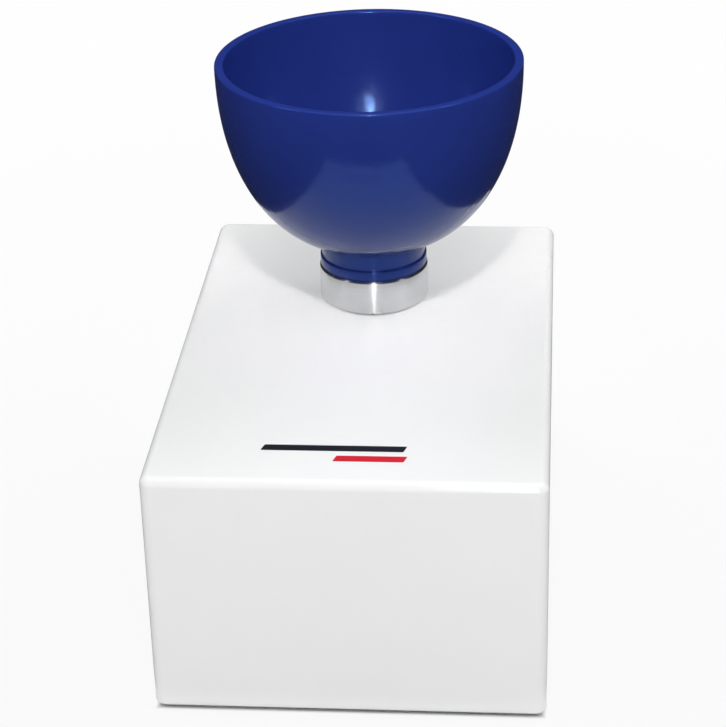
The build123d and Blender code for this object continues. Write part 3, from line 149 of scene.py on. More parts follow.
def turnProfile(name, profile, centre, steps):
    # draws a profile of (radius, height) points as edges, and spins it round an upright axis
    mergeWithin = 2e-6  # metres
    deselect()
    bpy.ops.mesh.primitive_plane_add(size=mm, location=(0, 0, 0))
    piece = bpy.context.object
    piece.name = name
    bpy.ops.object.mode_set(mode="EDIT")
    bpy.ops.mesh.select_all(action="SELECT")
    bpy.ops.mesh.merge(type="CENTER")
    here = Vector((0, 0, 0))
    for count, (radius, height) in enumerate(profile):
        there = Vector((centre[0] + radius, centre[1], height)) * mm
        if count == 0:
            bpy.ops.transform.translate(value=there - here)
        else:
            bpy.ops.mesh.extrude_vertices_move(TRANSFORM_OT_translate={"value": there - here})
        here = there
    bpy.ops.mesh.select_all(action="SELECT")
    bpy.ops.mesh.spin(steps=steps, angle=math.tau, center=(centre[0] * mm, centre[1] * mm, 0),
                      axis=(0, 0, 1))
    bpy.ops.mesh.select_all(action="SELECT")
    bpy.ops.mesh.remove_doubles(threshold=mergeWithin)
    bpy.ops.mesh.normals_make_consistent(inside=False)
    bpy.ops.object.mode_set(mode="OBJECT")
    return piece


def arc(centreR, centreZ, radius, start, end, steps):
    # points of an arc in a profile, by angle from the outward direction
    angles = [math.radians(start + (end - start) * i / steps) for i in range(steps + 1)]
    return [(centreR + radius * math.cos(a), centreZ + radius * math.sin(a)) for a in angles]


# finishes

def mouldedAbs(name, colour, gloss=0.16, patch=60, wipe=25, peel=4.5, peelDepth=0.02):
    # injection moulded ABS from a polished tool: glossy, with a very low orange peel, wipe marks in
    # the shine and a faint drift of tone, so that no broad face looks flat
    material = blankMaterial(name)
    place = addNode(material, "ShaderNodeTexCoord").outputs["Object"]
    drift = addNode(material, "ShaderNodeTexNoise", {"Scale": perMm(patch), "Detail": 2.0},
                    {"Vector": place})
    tone = addNode(material, "ShaderNodeMix",
                   {"data_type": "RGBA", colourA: linear(colour), colourB: shade(colour, 0.975)},
                   {0: drift.outputs["Fac"]})
    marks = addNode(material, "ShaderNodeTexNoise", {"Scale": perMm(wipe), "Detail": 4.0},
                    {"Vector": place})
    shine = addNode(material, "ShaderNodeMapRange",
                    {"From Min": 0.3, "From Max": 0.7, "To Min": gloss - 0.03, "To Max": gloss + 0.04},
                    {"Value": marks.outputs["Fac"]})
    skin = addNode(material, "ShaderNodeTexNoise", {"Scale": perMm(peel), "Detail": 1.0},
                   {"Vector": place})
    bump = addNode(material, "ShaderNodeBump", {"Strength": 0.5, "Distance": peelDepth * mm},
                   {"Height": skin.outputs["Fac"]})
    shell = addNode(material, "ShaderNodeBsdfPrincipled", {"IOR": 1.53},
                    {"Base Color": tone.outputs[colourOut], "Roughness": shine.outputs["Result"],
                     "Normal": bump.outputs["Normal"]})
    return finishMaterial(material, shell.outputs["BSDF"])


def texturedPlastic(name, colour, grain=0.35, depth=0.02, rough=0.42, patch=12):
    # moulded black plastic with a spark-eroded grain: satin, with fine dots that break up the light
    # and a trace of dust in patches
    material = blankMaterial(name)
    place = addNode(material, "ShaderNodeTexCoord").outputs["Object"]
    dust = addNode(material, "ShaderNodeTexNoise", {"Scale": perMm(patch), "Detail": 3.0},
                   {"Vector": place})
    tone = addNode(material, "ShaderNodeMix",
                   {"data_type": "RGBA", colourA: linear(colour), colourB: shade(colour, 1.35)},
                   {0: dust.outputs["Fac"]})
    shine = addNode(material, "ShaderNodeMapRange", {"To Min": rough - 0.06, "To Max": rough + 0.08},
                    {"Value": dust.outputs["Fac"]})
    dots = addNode(material, "ShaderNodeTexVoronoi", {"Scale": perMm(grain)}, {"Vector": place})
    bump = addNode(material, "ShaderNodeBump", {"Strength": 0.6, "Distance": depth * mm},
                   {"Height": dots.outputs["Distance"]})
    shell = addNode(material, "ShaderNodeBsdfPrincipled", {"IOR": 1.5},
                    {"Base Color": tone.outputs[colourOut], "Roughness": shine.outputs["Result"],
                     "Normal": bump.outputs["Normal"]})
    return finishMaterial(material, shell.outputs["BSDF"])


def mouldedRubber(name, colour, dark, wave=0.2, rough=0.11, hazeRough=0.38, hazeShare=0.2):
    # press moulded rubber: deep colour in 45 mm clouds, low 14 mm waves from handling, 6 mm scuffs
    # in the gloss, and under that gloss a faint wide haze that softens the edge of each light
    material = blankMaterial(name)
    place = addNode(material, "ShaderNodeTexCoord").outputs["Object"]
    cloud = addNode(material, "ShaderNodeTexNoise", {"Scale": perMm(45), "Detail": 3.0},
                    {"Vector": place})
    tone = addNode(material, "ShaderNodeMix",
                   {"data_type": "RGBA", colourA: linear(colour), colourB: linear(dark)},
                   {0: cloud.outputs["Fac"]})
    scuff = addNode(material, "ShaderNodeTexNoise",
                    {"Scale": perMm(6), "Detail": 6.0, "Roughness": 0.7}, {"Vector": place})
    shine = addNode(material, "ShaderNodeMapRange",
                    {"From Min": 0.35, "From Max": 0.75,
                     "To Min": rough - 0.03, "To Max": rough + 0.10},
                    {"Value": scuff.outputs["Fac"]})
    waves = addNode(material, "ShaderNodeTexNoise",
                    {"Scale": perMm(14), "Detail": 2.0, "Distortion": 0.6}, {"Vector": place})
    bump = addNode(material, "ShaderNodeBump", {"Strength": 1.0, "Distance": wave * mm},
                   {"Height": waves.outputs["Fac"]})
    gloss = {"IOR": 1.52, "Specular IOR Level": 0.6, "Specular Tint": linear("#629FFF"),
             "Coat Weight": 0.1, "Coat Roughness": 0.2}
    body = {"Base Color": tone.outputs[colourOut], "Normal": bump.outputs["Normal"]}
    skin = addNode(material, "ShaderNodeBsdfPrincipled", gloss,
                   {**body, "Roughness": shine.outputs["Result"]})
    haze = addNode(material, "ShaderNodeBsdfPrincipled", {**gloss, "Roughness": hazeRough}, body)
    shell = addNode(material, "ShaderNodeMixShader", {"Fac": hazeShare},
                    {1: skin.outputs["BSDF"], 2: haze.outputs["BSDF"]})
    return finishMaterial(material, shell.outputs["Shader"])


def turnedAluminium(name, colour, centre, step=0.35, groove=0.012, mark=8):
    # lathe-turned aluminium: fine rings round the axis, one every 2 pi steps, which draw each light
    # out into an upright streak, and hand marks in tone and shine
    material = blankMaterial(name)
    place = addNode(material, "ShaderNodeTexCoord").outputs["Object"]
    middle = addNode(material, "ShaderNodeMapping",
                     {"Location": (-centre[0] * mm, -centre[1] * mm, 0)}, {"Vector": place})
    waveRate = 20  # the wave texture takes each length this many times over
    rings = {"Scale": perMm(waveRate * step), "Distortion": 0.4, "Detail": 2.0, "Detail Scale": 3.0}
    side = addNode(material, "ShaderNodeTexWave",
                   {"wave_type": "BANDS", "bands_direction": "Z", **rings},
                   {"Vector": middle.outputs["Vector"]})
    face = addNode(material, "ShaderNodeTexWave",
                   {"wave_type": "RINGS", "rings_direction": "Z", **rings},
                   {"Vector": middle.outputs["Vector"]})
    both = addNode(material, "ShaderNodeMath", {"operation": "ADD"},
                   {0: side.outputs["Fac"], 1: face.outputs["Fac"]})
    bump = addNode(material, "ShaderNodeBump", {"Strength": 0.35, "Distance": groove * mm},
                   {"Height": both.outputs["Value"]})
    wipe = addNode(material, "ShaderNodeTexNoise", {"Scale": perMm(mark), "Detail": 3.0},
                   {"Vector": place})
    tone = addNode(material, "ShaderNodeMix",
                   {"data_type": "RGBA", colourA: linear(colour), colourB: shade(colour, 0.94)},
                   {0: wipe.outputs["Fac"]})
    shine = addNode(material, "ShaderNodeMapRange", {"To Min": 0.22, "To Max": 0.30},
                    {"Value": wipe.outputs["Fac"]})
    around = addNode(material, "ShaderNodeTangent", {"direction_type": "RADIAL", "axis": "Z"})
    shell = addNode(material, "ShaderNodeBsdfPrincipled",
                    {"Metallic": 1.0, "Anisotropic": 0.85, "Anisotropic Rotation": 0.25},
                    {"Base Color": tone.outputs[colourOut], "Roughness": shine.outputs["Result"],
                     "Normal": bump.outputs["Normal"], "Tangent": around.outputs["Tangent"]})
    return finishMaterial(material, shell.outputs["BSDF"])


def plainMetal(name, colour, rough=0.3, grain=1.5, depth=0.01, worn=0.85, drift=12):
    # machined, drawn or cast metal: a fine grain in the surface and its shine, and a slow drift of
    # tone over a dozen grains
    material = blankMaterial(name)
    place = addNode(material, "ShaderNodeTexCoord").outputs["Object"]
    grit = addNode(material, "ShaderNodeTexNoise", {"Scale": perMm(grain), "Detail": 5.0},
                   {"Vector": place})
    patch = addNode(material, "ShaderNodeTexNoise", {"Scale": perMm(drift * grain), "Detail": 3.0},
                    {"Vector": place})
    tone = addNode(material, "ShaderNodeMix",
                   {"data_type": "RGBA", colourA: linear(colour), colourB: shade(colour, worn)},
                   {0: patch.outputs["Fac"]})
    shine = addNode(material, "ShaderNodeMapRange", {"To Min": rough - 0.06, "To Max": rough + 0.10},
                    {"Value": grit.outputs["Fac"]})
    bump = addNode(material, "ShaderNodeBump", {"Strength": 0.5, "Distance": depth * mm},
                   {"Height": grit.outputs["Fac"]})
    shell = addNode(material, "ShaderNodeBsdfPrincipled", {"Metallic": 1.0},
                    {"Base Color": tone.outputs[colourOut], "Roughness": shine.outputs["Result"],
                     "Normal": bump.outputs["Normal"]})
    return finishMaterial(material, shell.outputs["BSDF"])


def plainSolid(name, colour, other, rough=0.5, patch=6.0, depth=0.02, ior=1.5):
    # matt or satin parts inside the case: two near tones in patches, and a skin eight times finer
    material = blankMaterial(name)
    place = addNode(material, "ShaderNodeTexCoord").outputs["Object"]
    cloud = addNode(material, "ShaderNodeTexNoise", {"Scale": perMm(patch), "Detail": 4.0},
                    {"Vector": place})
    tone = addNode(material, "ShaderNodeMix",
                   {"data_type": "RGBA", colourA: linear(colour), colourB: linear(other)},
                   {0: cloud.outputs["Fac"]})
    shine = addNode(material, "ShaderNodeMapRange", {"To Min": rough - 0.08, "To Max": rough + 0.10},
                    {"Value": cloud.outputs["Fac"]})
    skin = addNode(material, "ShaderNodeTexNoise", {"Scale": perMm(patch / 8), "Detail": 2.0},
                   {"Vector": place})
    bump = addNode(material, "ShaderNodeBump", {"Strength": 0.5, "Distance": depth * mm},
                   {"Height": skin.outputs["Fac"]})
    shell = addNode(material, "ShaderNodeBsdfPrincipled", {"IOR": ior},
                    {"Base Color": tone.outputs[colourOut], "Roughness": shine.outputs["Result"],
                     "Normal": bump.outputs["Normal"]})
    return finishMaterial(material, shell.outputs["BSDF"])


def printedInk(name, colour, speckle=1.2):
    # pad-printed ink: opaque and slightly duller than the plastic, a little thin in places
    material = blankMaterial(name)
    place = addNode(material, "ShaderNodeTexCoord").outputs["Object"]
    thin = addNode(material, "ShaderNodeTexNoise", {"Scale": perMm(speckle), "Detail": 3.0},
                   {"Vector": place})
    tone = addNode(material, "ShaderNodeMix",
                   {"data_type": "RGBA", colourA: linear(colour), colourB: shade(colour, 1.12, 0.004)},
                   {0: thin.outputs["Fac"]})
    shine = addNode(material, "ShaderNodeMapRange", {"To Min": 0.28, "To Max": 0.4},
                    {"Value": thin.outputs["Fac"]})
    shell = addNode(material, "ShaderNodeBsdfPrincipled", {"IOR": 1.5},
                    {"Base Color": tone.outputs[colourOut], "Roughness": shine.outputs["Result"]})
    return finishMaterial(material, shell.outputs["BSDF"])


finishes = {
    "white_case": mouldedAbs("glossWhiteAbs", "#F0F1F0"),
    "tray_plastic": mouldedAbs("greyAbsTray", "#D9DBDE", gloss=0.24),
    "blue_rubber": mouldedRubber("ultramarineRubber", "#172567", "#13205A"),
    "black_rubber": mouldedRubber("blackRubber", "#1C1C1D", "#141415", wave=0.05, rough=0.5),
    "turned_aluminium": turnedAluminium("turnedAluminium", "#F6F6F7", (0, spindleY)),
    "plate_steel": plainMetal("zincPlatedSheet", "#B9BCBE", rough=0.34, grain=2.5),
    "screw_steel": plainMetal("zincPlatedScrews", "#BFC2C5", rough=0.26, grain=0.6),
    "cast_aluminium": plainMetal("castAluminium", "#B4B6B8", rough=0.42, grain=1.0, depth=0.03),
    "ground_steel": plainMetal("groundBearingSteel", "#C4C6C8", rough=0.14, grain=0.5, depth=0.003),
    "motor_steel": plainMetal("drawnMotorSteel", "#A9ABAD", rough=0.3, grain=1.5),
    "laminated_steel": plainMetal("laminatedSteel", "#8C8E90", rough=0.4, grain=0.5, depth=0.03),
    "copper": plainMetal("enamelledCopper", "#B4633A", rough=0.3, grain=0.8, depth=0.03),
    "bronze": plainMetal("sinteredBronze", "#9C7747", rough=0.5, grain=0.4, depth=0.03),
    "tab_brass": plainMetal("nickelledBrass", "#C6C0AE", rough=0.24, grain=0.6),
    "ferrite": plainSolid("ferriteMagnet", "#34353A", "#2A2B2F", rough=0.6),
    "carbon": plainSolid("carbonBrush", "#26272A", "#1E1F21", rough=0.55),
    "cage_nylon": plainSolid("nylonCage", "#D8CFB4", "#CFC5A8", rough=0.45),
    "black_plastic": texturedPlastic("blackTexturedPlastic", "#1F2022"),
    "fuse_glass": plainSolid("fuseGlass", "#C9D0D2", "#BFC7CA", rough=0.12, depth=0.002),
    "board_laminate": plainSolid("boardLaminate", "#2E5A38", "#284F31", rough=0.4),
    "block_green": plainSolid("greenTerminalBlock", "#3C8050", "#357347", rough=0.45),
    "lead_brown": plainSolid("brownLeadPvc", "#5A3A26", "#4E3220", rough=0.4),
    "lead_grey": plainSolid("greyLeadPvc", "#8B8D8F", "#808284", rough=0.4),
    "lead_red": plainSolid("redLeadPvc", "#A3302B", "#942A25", rough=0.4),
}

slotNodes = {
    "white_case": ["case_shell"],
    "plate_steel": ["base_plate", "drive_frame"],
    "black_rubber": ["rubber_feet", "shaft_seal", "drive_belt"],
    "screw_steel": ["foot_screws", "base_screws", "pillar_screws", "housing_screws", "motor_screws",
                    "board_screws", "inlet_screws", "motor_bolts", "frame_pillars", "housing_rings",
                    "spindle_rings", "spindle_spacer", "driven_pulley_screw", "motor_pulley_screw",
                    "chuck_screw", "speed_control", "speed_control_shaft", "board_posts"],
    "cast_aluminium": ["bearing_housing", "driven_pulley", "motor_front_cap", "motor_rear_cap",
                       "motor_pulley", "heat_sink"],
    "ground_steel": ["bearing_outer_races", "bearing_inner_races", "bearing_balls", "spindle_shaft",
                     "motor_shaft"],
    "cage_nylon": ["bearing_cages"],
    "turned_aluminium": ["chuck_ring"],
    "blue_rubber": ["mixing_bowl"],
    "motor_steel": ["motor_can"],
    "ferrite": ["motor_magnets"],
    "bronze": ["motor_bushes"],
    "carbon": ["motor_brushes"],
    "black_plastic": ["brush_caps", "switch_housing", "power_rocker", "speed_knob", "power_inlet",
                      "fuse_drawer"],
    "laminated_steel": ["armature_core"],
    "copper": ["armature_windings", "commutator"],
    "tray_plastic": ["control_tray"],
    "tab_brass": ["switch_tabs", "inlet_pins"],
    "fuse_glass": ["fuse"],
    "board_laminate": ["control_board"],
    "block_green": ["terminal_block"],
    "lead_brown": ["supply_leads"],
    "lead_grey": ["control_leads"],
    "lead_red": ["motor_leads"],
}
for slotName, names in slotNodes.items():
    for name in names:
        paint(nodes[name], finishes[slotName])
print("finishes made:", len(finishes))


# case and the parts that show on it

dressing = {
    "mergeWithin": 1e-6,  # metres
    "flatWithin": 0.6,
    "sharpFrom": 40,
    "smoothUpTo": 32,
    "normalWeight": 60,
}
dressed = [
    # node, piece, body, slot, width of its broken edges and their segments
    ("case_shell", "caseShellDressed", "case", "white_case", 0.3, 2),
    ("control_tray", "controlTrayDressed", "case", "tray_plastic", 0.3, 2),
    ("base_plate", "basePlateDressed", "case", "plate_steel", 0.15, 1),
    ("switch_housing", "switchHousingDressed", "case", "black_plastic", 0.25, 2),
    ("power_rocker", "powerRockerDressed", "rocker", "black_plastic", 0.3, 2),
    ("speed_knob", "speedKnobDressed", "speed_knob", "black_plastic", 0.15, 2),
    ("power_inlet", "powerInletDressed", "case", "black_plastic", 0.3, 2),
    ("inlet_pins", "inletPinsDressed", "case", "tab_brass", 0.2, 2),
    ("inlet_screws", "inletScrewsDressed", "case", "screw_steel", 0.1, 2),
    ("fuse_drawer", "fuseDrawerDressed", "fuse_drawer", "black_plastic", 0.25, 2),
    ("foot_screws", "footScrewsDressed", "case", "screw_steel", 0.1, 2),
    ("base_screws", "baseScrewsDressed", "case", "screw_steel", 0.1, 2),
    ("chuck_screw", "chuckScrewDressed", "spindle", "screw_steel", 0.15, 2),
]


def dress(nodeName, pieceName, body, slotName, edge, segments):
    # a copy of a node's own shape with merged points, clean faces and softly broken edges
    pick(nodes[nodeName])
    bpy.ops.object.duplicate()
    piece = bpy.context.object
    piece.name = pieceName
    piece.parent = None
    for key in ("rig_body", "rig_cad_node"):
        if key in piece:
            del piece[key]
    bpy.ops.object.mode_set(mode="EDIT")
    bpy.ops.mesh.select_all(action="SELECT")
    bpy.ops.mesh.remove_doubles(threshold=dressing["mergeWithin"])
    bpy.ops.mesh.customdata_custom_splitnormals_clear()
    bpy.ops.mesh.dissolve_limited(angle_limit=math.radians(dressing["flatWithin"]))
    bpy.ops.object.mode_set(mode="OBJECT")
    modify(piece, "BEVEL", width=edge * mm, segments=segments, limit_method="ANGLE",
           angle_limit=math.radians(dressing["sharpFrom"]), use_clamp_overlap=True,
           harden_normals=False)
    smooth(piece, dressing["smoothUpTo"])
    modify(piece, "WEIGHTED_NORMAL", keep_sharp=True, weight=dressing["normalWeight"])
    paint(piece, finishes[slotName])
    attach(piece, body)
    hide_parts(nodeName)


for row in dressed:
    dress(*row)
print("case dressed")


# mixing bowl

bowl = {
    "rimRadius": 70.6,
    "rimTop": 233.0,
    "rimWall": 4.2,
    "rimEdge": 0.9,
    "rimJoin": 1.6,  # the wall stops this many edge radii below the top
    "depthOutside": 90.9,
    "depthInside": 84.0,
    "roundSide": 2.46,
    "roundDepth": 2.20,
    "neckRadius": 26.0,
    "neckInset": 0.78,
    "neckDrop": 0.3,
    "neckRound": 0.6,
    "waistRadius": 24.6,
    "waistDrop": 1.3,
    "waistRound": 0.4,
    "waistGap": 0.2,
    "lipRadius": 25.2,
    "lipInset": 0.05,
    "lipRound": 0.8,
    "lipBottom": 132.3,
    "lipTop": 137.3,
    "plugRadius": 23.1,
    "plugBottom": 119.9,
    "plugRound": 0.8,
    "recessRadius": 14.0,
    "recessDepth": 18.0,
    "recessMouth": 0.6,
    "recessRound": 2.0,
    "outerSteps": 44,
    "innerSteps": 60,
    "turnSteps": 160,
    "smoothUpTo": 35,
}


def bowlWall(rimRadius, depth, stopRadius, steps):
    # points down a bowl's wall from its rim to the radius where it stops
    side, deep = bowl["roundSide"], bowl["roundDepth"]
    stop = (1 - (stopRadius / rimRadius) ** side) ** (1 / deep)
    last = math.asin(stop ** (deep / 2))
    angles = [last * i / steps for i in range(steps + 1)]
    return [(rimRadius * max(0.0, math.cos(a)) ** (2 / side),
             bowl["rimTop"] - depth * math.sin(a) ** (2 / deep)) for a in angles]


def makeBowl():
    edge, rimTop = bowl["rimEdge"], bowl["rimTop"]
    rimOutside, rimInside = bowl["rimRadius"], bowl["rimRadius"] - bowl["rimWall"]
    wallTop = rimTop - bowl["rimJoin"] * edge
    outer = bowlWall(rimOutside, bowl["depthOutside"], bowl["neckRadius"], bowl["outerSteps"])
    inner = bowlWall(rimInside, bowl["depthInside"], 0, bowl["innerSteps"])
    outer = [point for point in outer if point[1] < wallTop]
    inner = [point for point in inner if point[1] < wallTop]
    rim = arc(rimOutside - edge, rimTop - edge, edge, 0, 90, steps=6)
    rim += arc(rimInside + edge, rimTop - edge, edge, 90, 180, steps=6)

    neckZ = outer[-1][1]
    neck = arc(bowl["neckRadius"] - bowl["neckInset"], neckZ - bowl["neckDrop"],
               bowl["neckRound"], 40, -90, steps=6)
    neck += arc(bowl["waistRadius"] + bowl["waistRound"], neckZ - bowl["waistDrop"],
                bowl["waistRound"], 90, 180, steps=3)
    curl = bowl["lipRadius"] - bowl["waistRadius"]
    waist = [(bowl["waistRadius"], bowl["lipTop"] + curl + bowl["waistGap"])]
    lip = arc(bowl["lipRadius"] - bowl["lipInset"], bowl["lipTop"] + curl, curl, 180, 262, steps=4)
    lip += arc(bowl["lipRadius"] - bowl["lipRound"], bowl["lipTop"] - bowl["lipRound"],
               bowl["lipRound"], 78, 0, steps=4)
    lip += arc(bowl["lipRadius"] - curl, bowl["lipBottom"] + curl, curl, 0, -90, steps=5)

    recessTop = bowl["plugBottom"] + bowl["recessDepth"]
    plug = [(bowl["plugRadius"], bowl["lipBottom"])]
    plug += arc(bowl["plugRadius"] - bowl["plugRound"], bowl["plugBottom"] + bowl["plugRound"],
                bowl["plugRound"], 0, -90, steps=4)
    plug += arc(bowl["recessRadius"] + bowl["recessMouth"], bowl["plugBottom"] + bowl["recessMouth"],
                bowl["recessMouth"], 270, 180, steps=3)
    plug += arc(bowl["recessRadius"] - bowl["recessRound"], recessTop - bowl["recessRound"],
                bowl["recessRound"], 0, 90, steps=5)

    # from the middle of the recess out and up over the rim, then down to the middle of the inside
    profile = [(0, recessTop)] + plug[::-1] + lip[::-1] + waist + neck[::-1] + outer[::-1]
    profile += rim + inner
    profile[-1] = (0, profile[-1][1])
    piece = turnProfile("mixingBowlRubber", profile, (0, spindleY), bowl["turnSteps"])
    smooth(piece, bowl["smoothUpTo"])
    paint(piece, finishes["blue_rubber"])
    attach(piece, "bowl")
    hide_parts("mixing_bowl")
    return piece


mixingBowl = makeBowl()
print("bowl made")


# chuck ring

ring = {
    "outer": 25.6,
    "inner": 23.4,
    "bottom": 115.6,
    "top": 132.0,
    "seat": 119.6,
    "midDrop": 6.0,  # a row of points this far below the top keeps the wall's shading even
    "chamfer": 0.8,
    "hubRadius": 8.0,
    "hubBottom": 109.0,
    "boreRadius": 6.02,
    "boreTop": 117.1,
    "screwHole": 3.25,
    "broken": 0.2,
    "softEdge": 0.08,
    "sharpFrom": 25,
    "turnSteps": 192,
}


def makeRing():
    broken = ring["broken"]
    profile = [
        (ring["boreRadius"], ring["hubBottom"]),
        (ring["hubRadius"] - broken, ring["hubBottom"]),
        (ring["hubRadius"], ring["hubBottom"] + broken),
        (ring["hubRadius"], ring["bottom"]),
        (ring["outer"] - 2 * broken, ring["bottom"]),
        (ring["outer"], ring["bottom"] + 2 * broken),
        (ring["outer"], ring["top"] - ring["midDrop"]),
        (ring["outer"], ring["top"] - ring["chamfer"]),
        (ring["outer"] - ring["chamfer"], ring["top"]),
        (ring["inner"] + broken, ring["top"]),
        (ring["inner"], ring["top"] - broken),
        (ring["inner"], ring["seat"] + 4 * broken),
        (ring["inner"] - 4 * broken, ring["seat"]),
        (ring["screwHole"] + broken, ring["seat"]),
        (ring["screwHole"], ring["seat"] - broken),
        (ring["screwHole"], ring["boreTop"]),
        (ring["boreRadius"], ring["boreTop"]),
    ]
    piece = turnProfile("chuckRingTurned", profile, (0, spindleY), ring["turnSteps"])
    # the bore's wall closes the profile
    pick(piece)
    bpy.ops.object.mode_set(mode="EDIT")
    bpy.ops.mesh.select_all(action="DESELECT")
    bpy.ops.mesh.select_non_manifold()
    bpy.ops.mesh.bridge_edge_loops()
    bpy.ops.mesh.select_all(action="SELECT")
    bpy.ops.mesh.normals_make_consistent(inside=False)
    bpy.ops.object.mode_set(mode="OBJECT")
    modify(piece, "BEVEL", width=ring["softEdge"] * mm, segments=2, limit_method="ANGLE",
           angle_limit=math.radians(ring["sharpFrom"]))
    smooth(piece, ring["sharpFrom"])
    paint(piece, finishes["turned_aluminium"])
    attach(piece, "spindle")
    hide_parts("chuck_ring")


makeRing()
print("chuck ring made")


# rubber feet

foot = {
    "radius": 9.0,
    "height": 3.4,
    "edge": 0.6,
    "soleInset": 0.3,
    "sideInset": 0.1,
    "topInset": 0.4,
    "topDrop": 0.6,
    "spotX": 59.0,
    "spotY": 106.0,
    "headHole": 2.95,
    "headDepth": 2.05,
    "shankHole": 1.75,
    "mouth": 0.25,
    "turnSteps": 48,
    "smoothUpTo": 35,
}


def makeFeet():
    # one foot is turned, then copied to the other corners
    profile = [
        (foot["shankHole"], foot["height"]),
        (foot["shankHole"], foot["headDepth"]),
        (foot["headHole"], foot["headDepth"]),
        (foot["headHole"], foot["mouth"]),
        (foot["headHole"] + foot["mouth"], 0.0),
        *arc(foot["radius"] - foot["edge"] - foot["soleInset"], foot["edge"], foot["edge"],
             -90, -20, steps=4),
        (foot["radius"] - foot["sideInset"], foot["height"] - foot["topDrop"]),
        (foot["radius"] - foot["topInset"], foot["height"]),
    ]
    profile.append(profile[0])
    first = turnProfile("rubberFoot1", profile, (foot["spotX"], foot["spotY"]), foot["turnSteps"])
    smooth(first, foot["smoothUpTo"])
    feet = [first]
    for count, (x, y) in enumerate([(-1, 1), (-1, -1), (1, -1)], start=2):
        pick(first)
        bpy.ops.object.duplicate()
        copy = bpy.context.object
        copy.name = "rubberFoot" + str(count)
        way = ((x - 1) * foot["spotX"] * mm, (y - 1) * foot["spotY"] * mm, 0)
        bpy.ops.transform.translate(value=way)
        settle(copy)
        feet.append(copy)
    for piece in feet:
        paint(piece, finishes["black_rubber"])
        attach(piece, "case")
        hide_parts("rubber_feet")


makeFeet()
print("feet made")


# prints on the worktop, the dial and the switch

inks = {
    "black": printedInk("blackPadInk", "#1B1B1D"),
    "red": printedInk("redPadInk", "#C8242F"),
    "grey": printedInk("darkGreyPadInk", "#3A3C40"),
    "white": printedInk("whitePadInk", "#E8E9EA"),
}
prints = {
    "thickness": 0.05,
    "blackStripe": (-36.8, 23.6, -102.6, 4.8),  # left, right, middle line and width
    "redStripe": (-5.6, 24.2, -111.2, 4.8),
    "slant": 1.4,
    "corner": 0.5,
    "trayFloor": -74.0,
    "trayGap": 0.01,  # a print is laid this far off the tray's floor
    "switchMiddle": (-84.0, 66.0),
    "switchMarkRise": 14.4,
    "switchMarkSize": 4.2,
    "letterSteps": 4,
}
dial = {
    "centre": (-44.0, 66.0),
    "start": 230.0,
    "sweep": 280.0,
    "marks": 11,
    "tickFrom": 13.8,
    "tickTo": 14.8,
    "tickWidth": 0.35,
    "tickCorner": 0.12,  # cut from the square before it is scaled, so a tick's corners stay sharp
    "broadEvery": 5,
    "broader": 1.8,
    "numberEvery": 2,
    "numberRadius": 16.4,
    "numberSize": 2.7,
}
pointer = {
    "middle": 7.4,
    "length": 6.8,
    "width": 1.4,
    "corner": 0.3,  # cut as a tick's
    "thickness": 0.35,
    "grooveFloor": -83.83,
}


def layFlat(x, y, z, length, width):
    # a flat piece of this size about a point
    deselect()
    bpy.ops.mesh.primitive_plane_add(size=1, location=(x * mm, y * mm, z * mm))
    bpy.ops.transform.resize(value=(length * mm, width * mm, 1))
    return bpy.context.object


def raiseFlat(corner, segments, thickness):
    # cuts the active flat piece's corners and raises it to a coat with its faces outwards
    bpy.ops.object.mode_set(mode="EDIT")
    bpy.ops.mesh.select_all(action="SELECT")
    bpy.ops.mesh.bevel(offset=corner * mm, segments=segments, affect="VERTICES")
    bpy.ops.mesh.select_all(action="SELECT")
    bpy.ops.mesh.extrude_region_move(TRANSFORM_OT_translate={"value": (0, 0, thickness * mm)})
    bpy.ops.mesh.select_all(action="SELECT")
    bpy.ops.mesh.normals_make_consistent(inside=False)
    bpy.ops.object.mode_set(mode="OBJECT")


def turnFlat(piece, angle):
    # turns a flat piece about the world's middle
    settle(piece)
    piece.rotation_euler = (0, 0, angle)
    settle(piece)


def faceLeft(piece, x, y, z):
    # stands a flat piece up, to be read from the left of the mixer
    piece.rotation_euler = (math.radians(90), 0, math.radians(-90))
    piece.location = (x * mm, y * mm, z * mm)
    settle(piece)


def makeStripe(name, ink, left, right, middle, width):
    # a bar with slanted ends and rounded corners, as thick as a coat of ink
    piece = layFlat((left + right) / 2, middle, caseTop, right - left, width)
    piece.name = name
    settle(piece)
    bpy.ops.object.mode_set(mode="EDIT")
    bpy.ops.mesh.select_mode(type="VERT")
    bpy.ops.mesh.select_all(action="DESELECT")
    bpy.ops.object.mode_set(mode="OBJECT")
    for vertex in piece.data.vertices:
        vertex.select = vertex.co.y > middle * mm
    bpy.ops.object.mode_set(mode="EDIT")
    bpy.ops.transform.translate(value=(prints["slant"] * mm, 0, 0))
    raiseFlat(prints["corner"], 4, prints["thickness"])
    paint(piece, ink)
    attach(piece, "case")


def makeMark(name, words, size, y, z):
    # a plain printed number or switch mark
    deselect()
    bpy.ops.object.text_add(location=(0, 0, 0))
    text = bpy.context.object
    text.name = name
    text.data.body = words
    text.data.size = size * mm
    text.data.align_x, text.data.align_y = "CENTER", "CENTER"
    text.data.extrude = prints["thickness"] / 2 * mm
    text.data.resolution_u = prints["letterSteps"]
    bpy.ops.object.convert(target="MESH")
    piece = bpy.context.object
    faceLeft(piece, prints["trayFloor"] - prints["trayGap"], y, z)
    paint(piece, inks["grey"])
    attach(piece, "case")


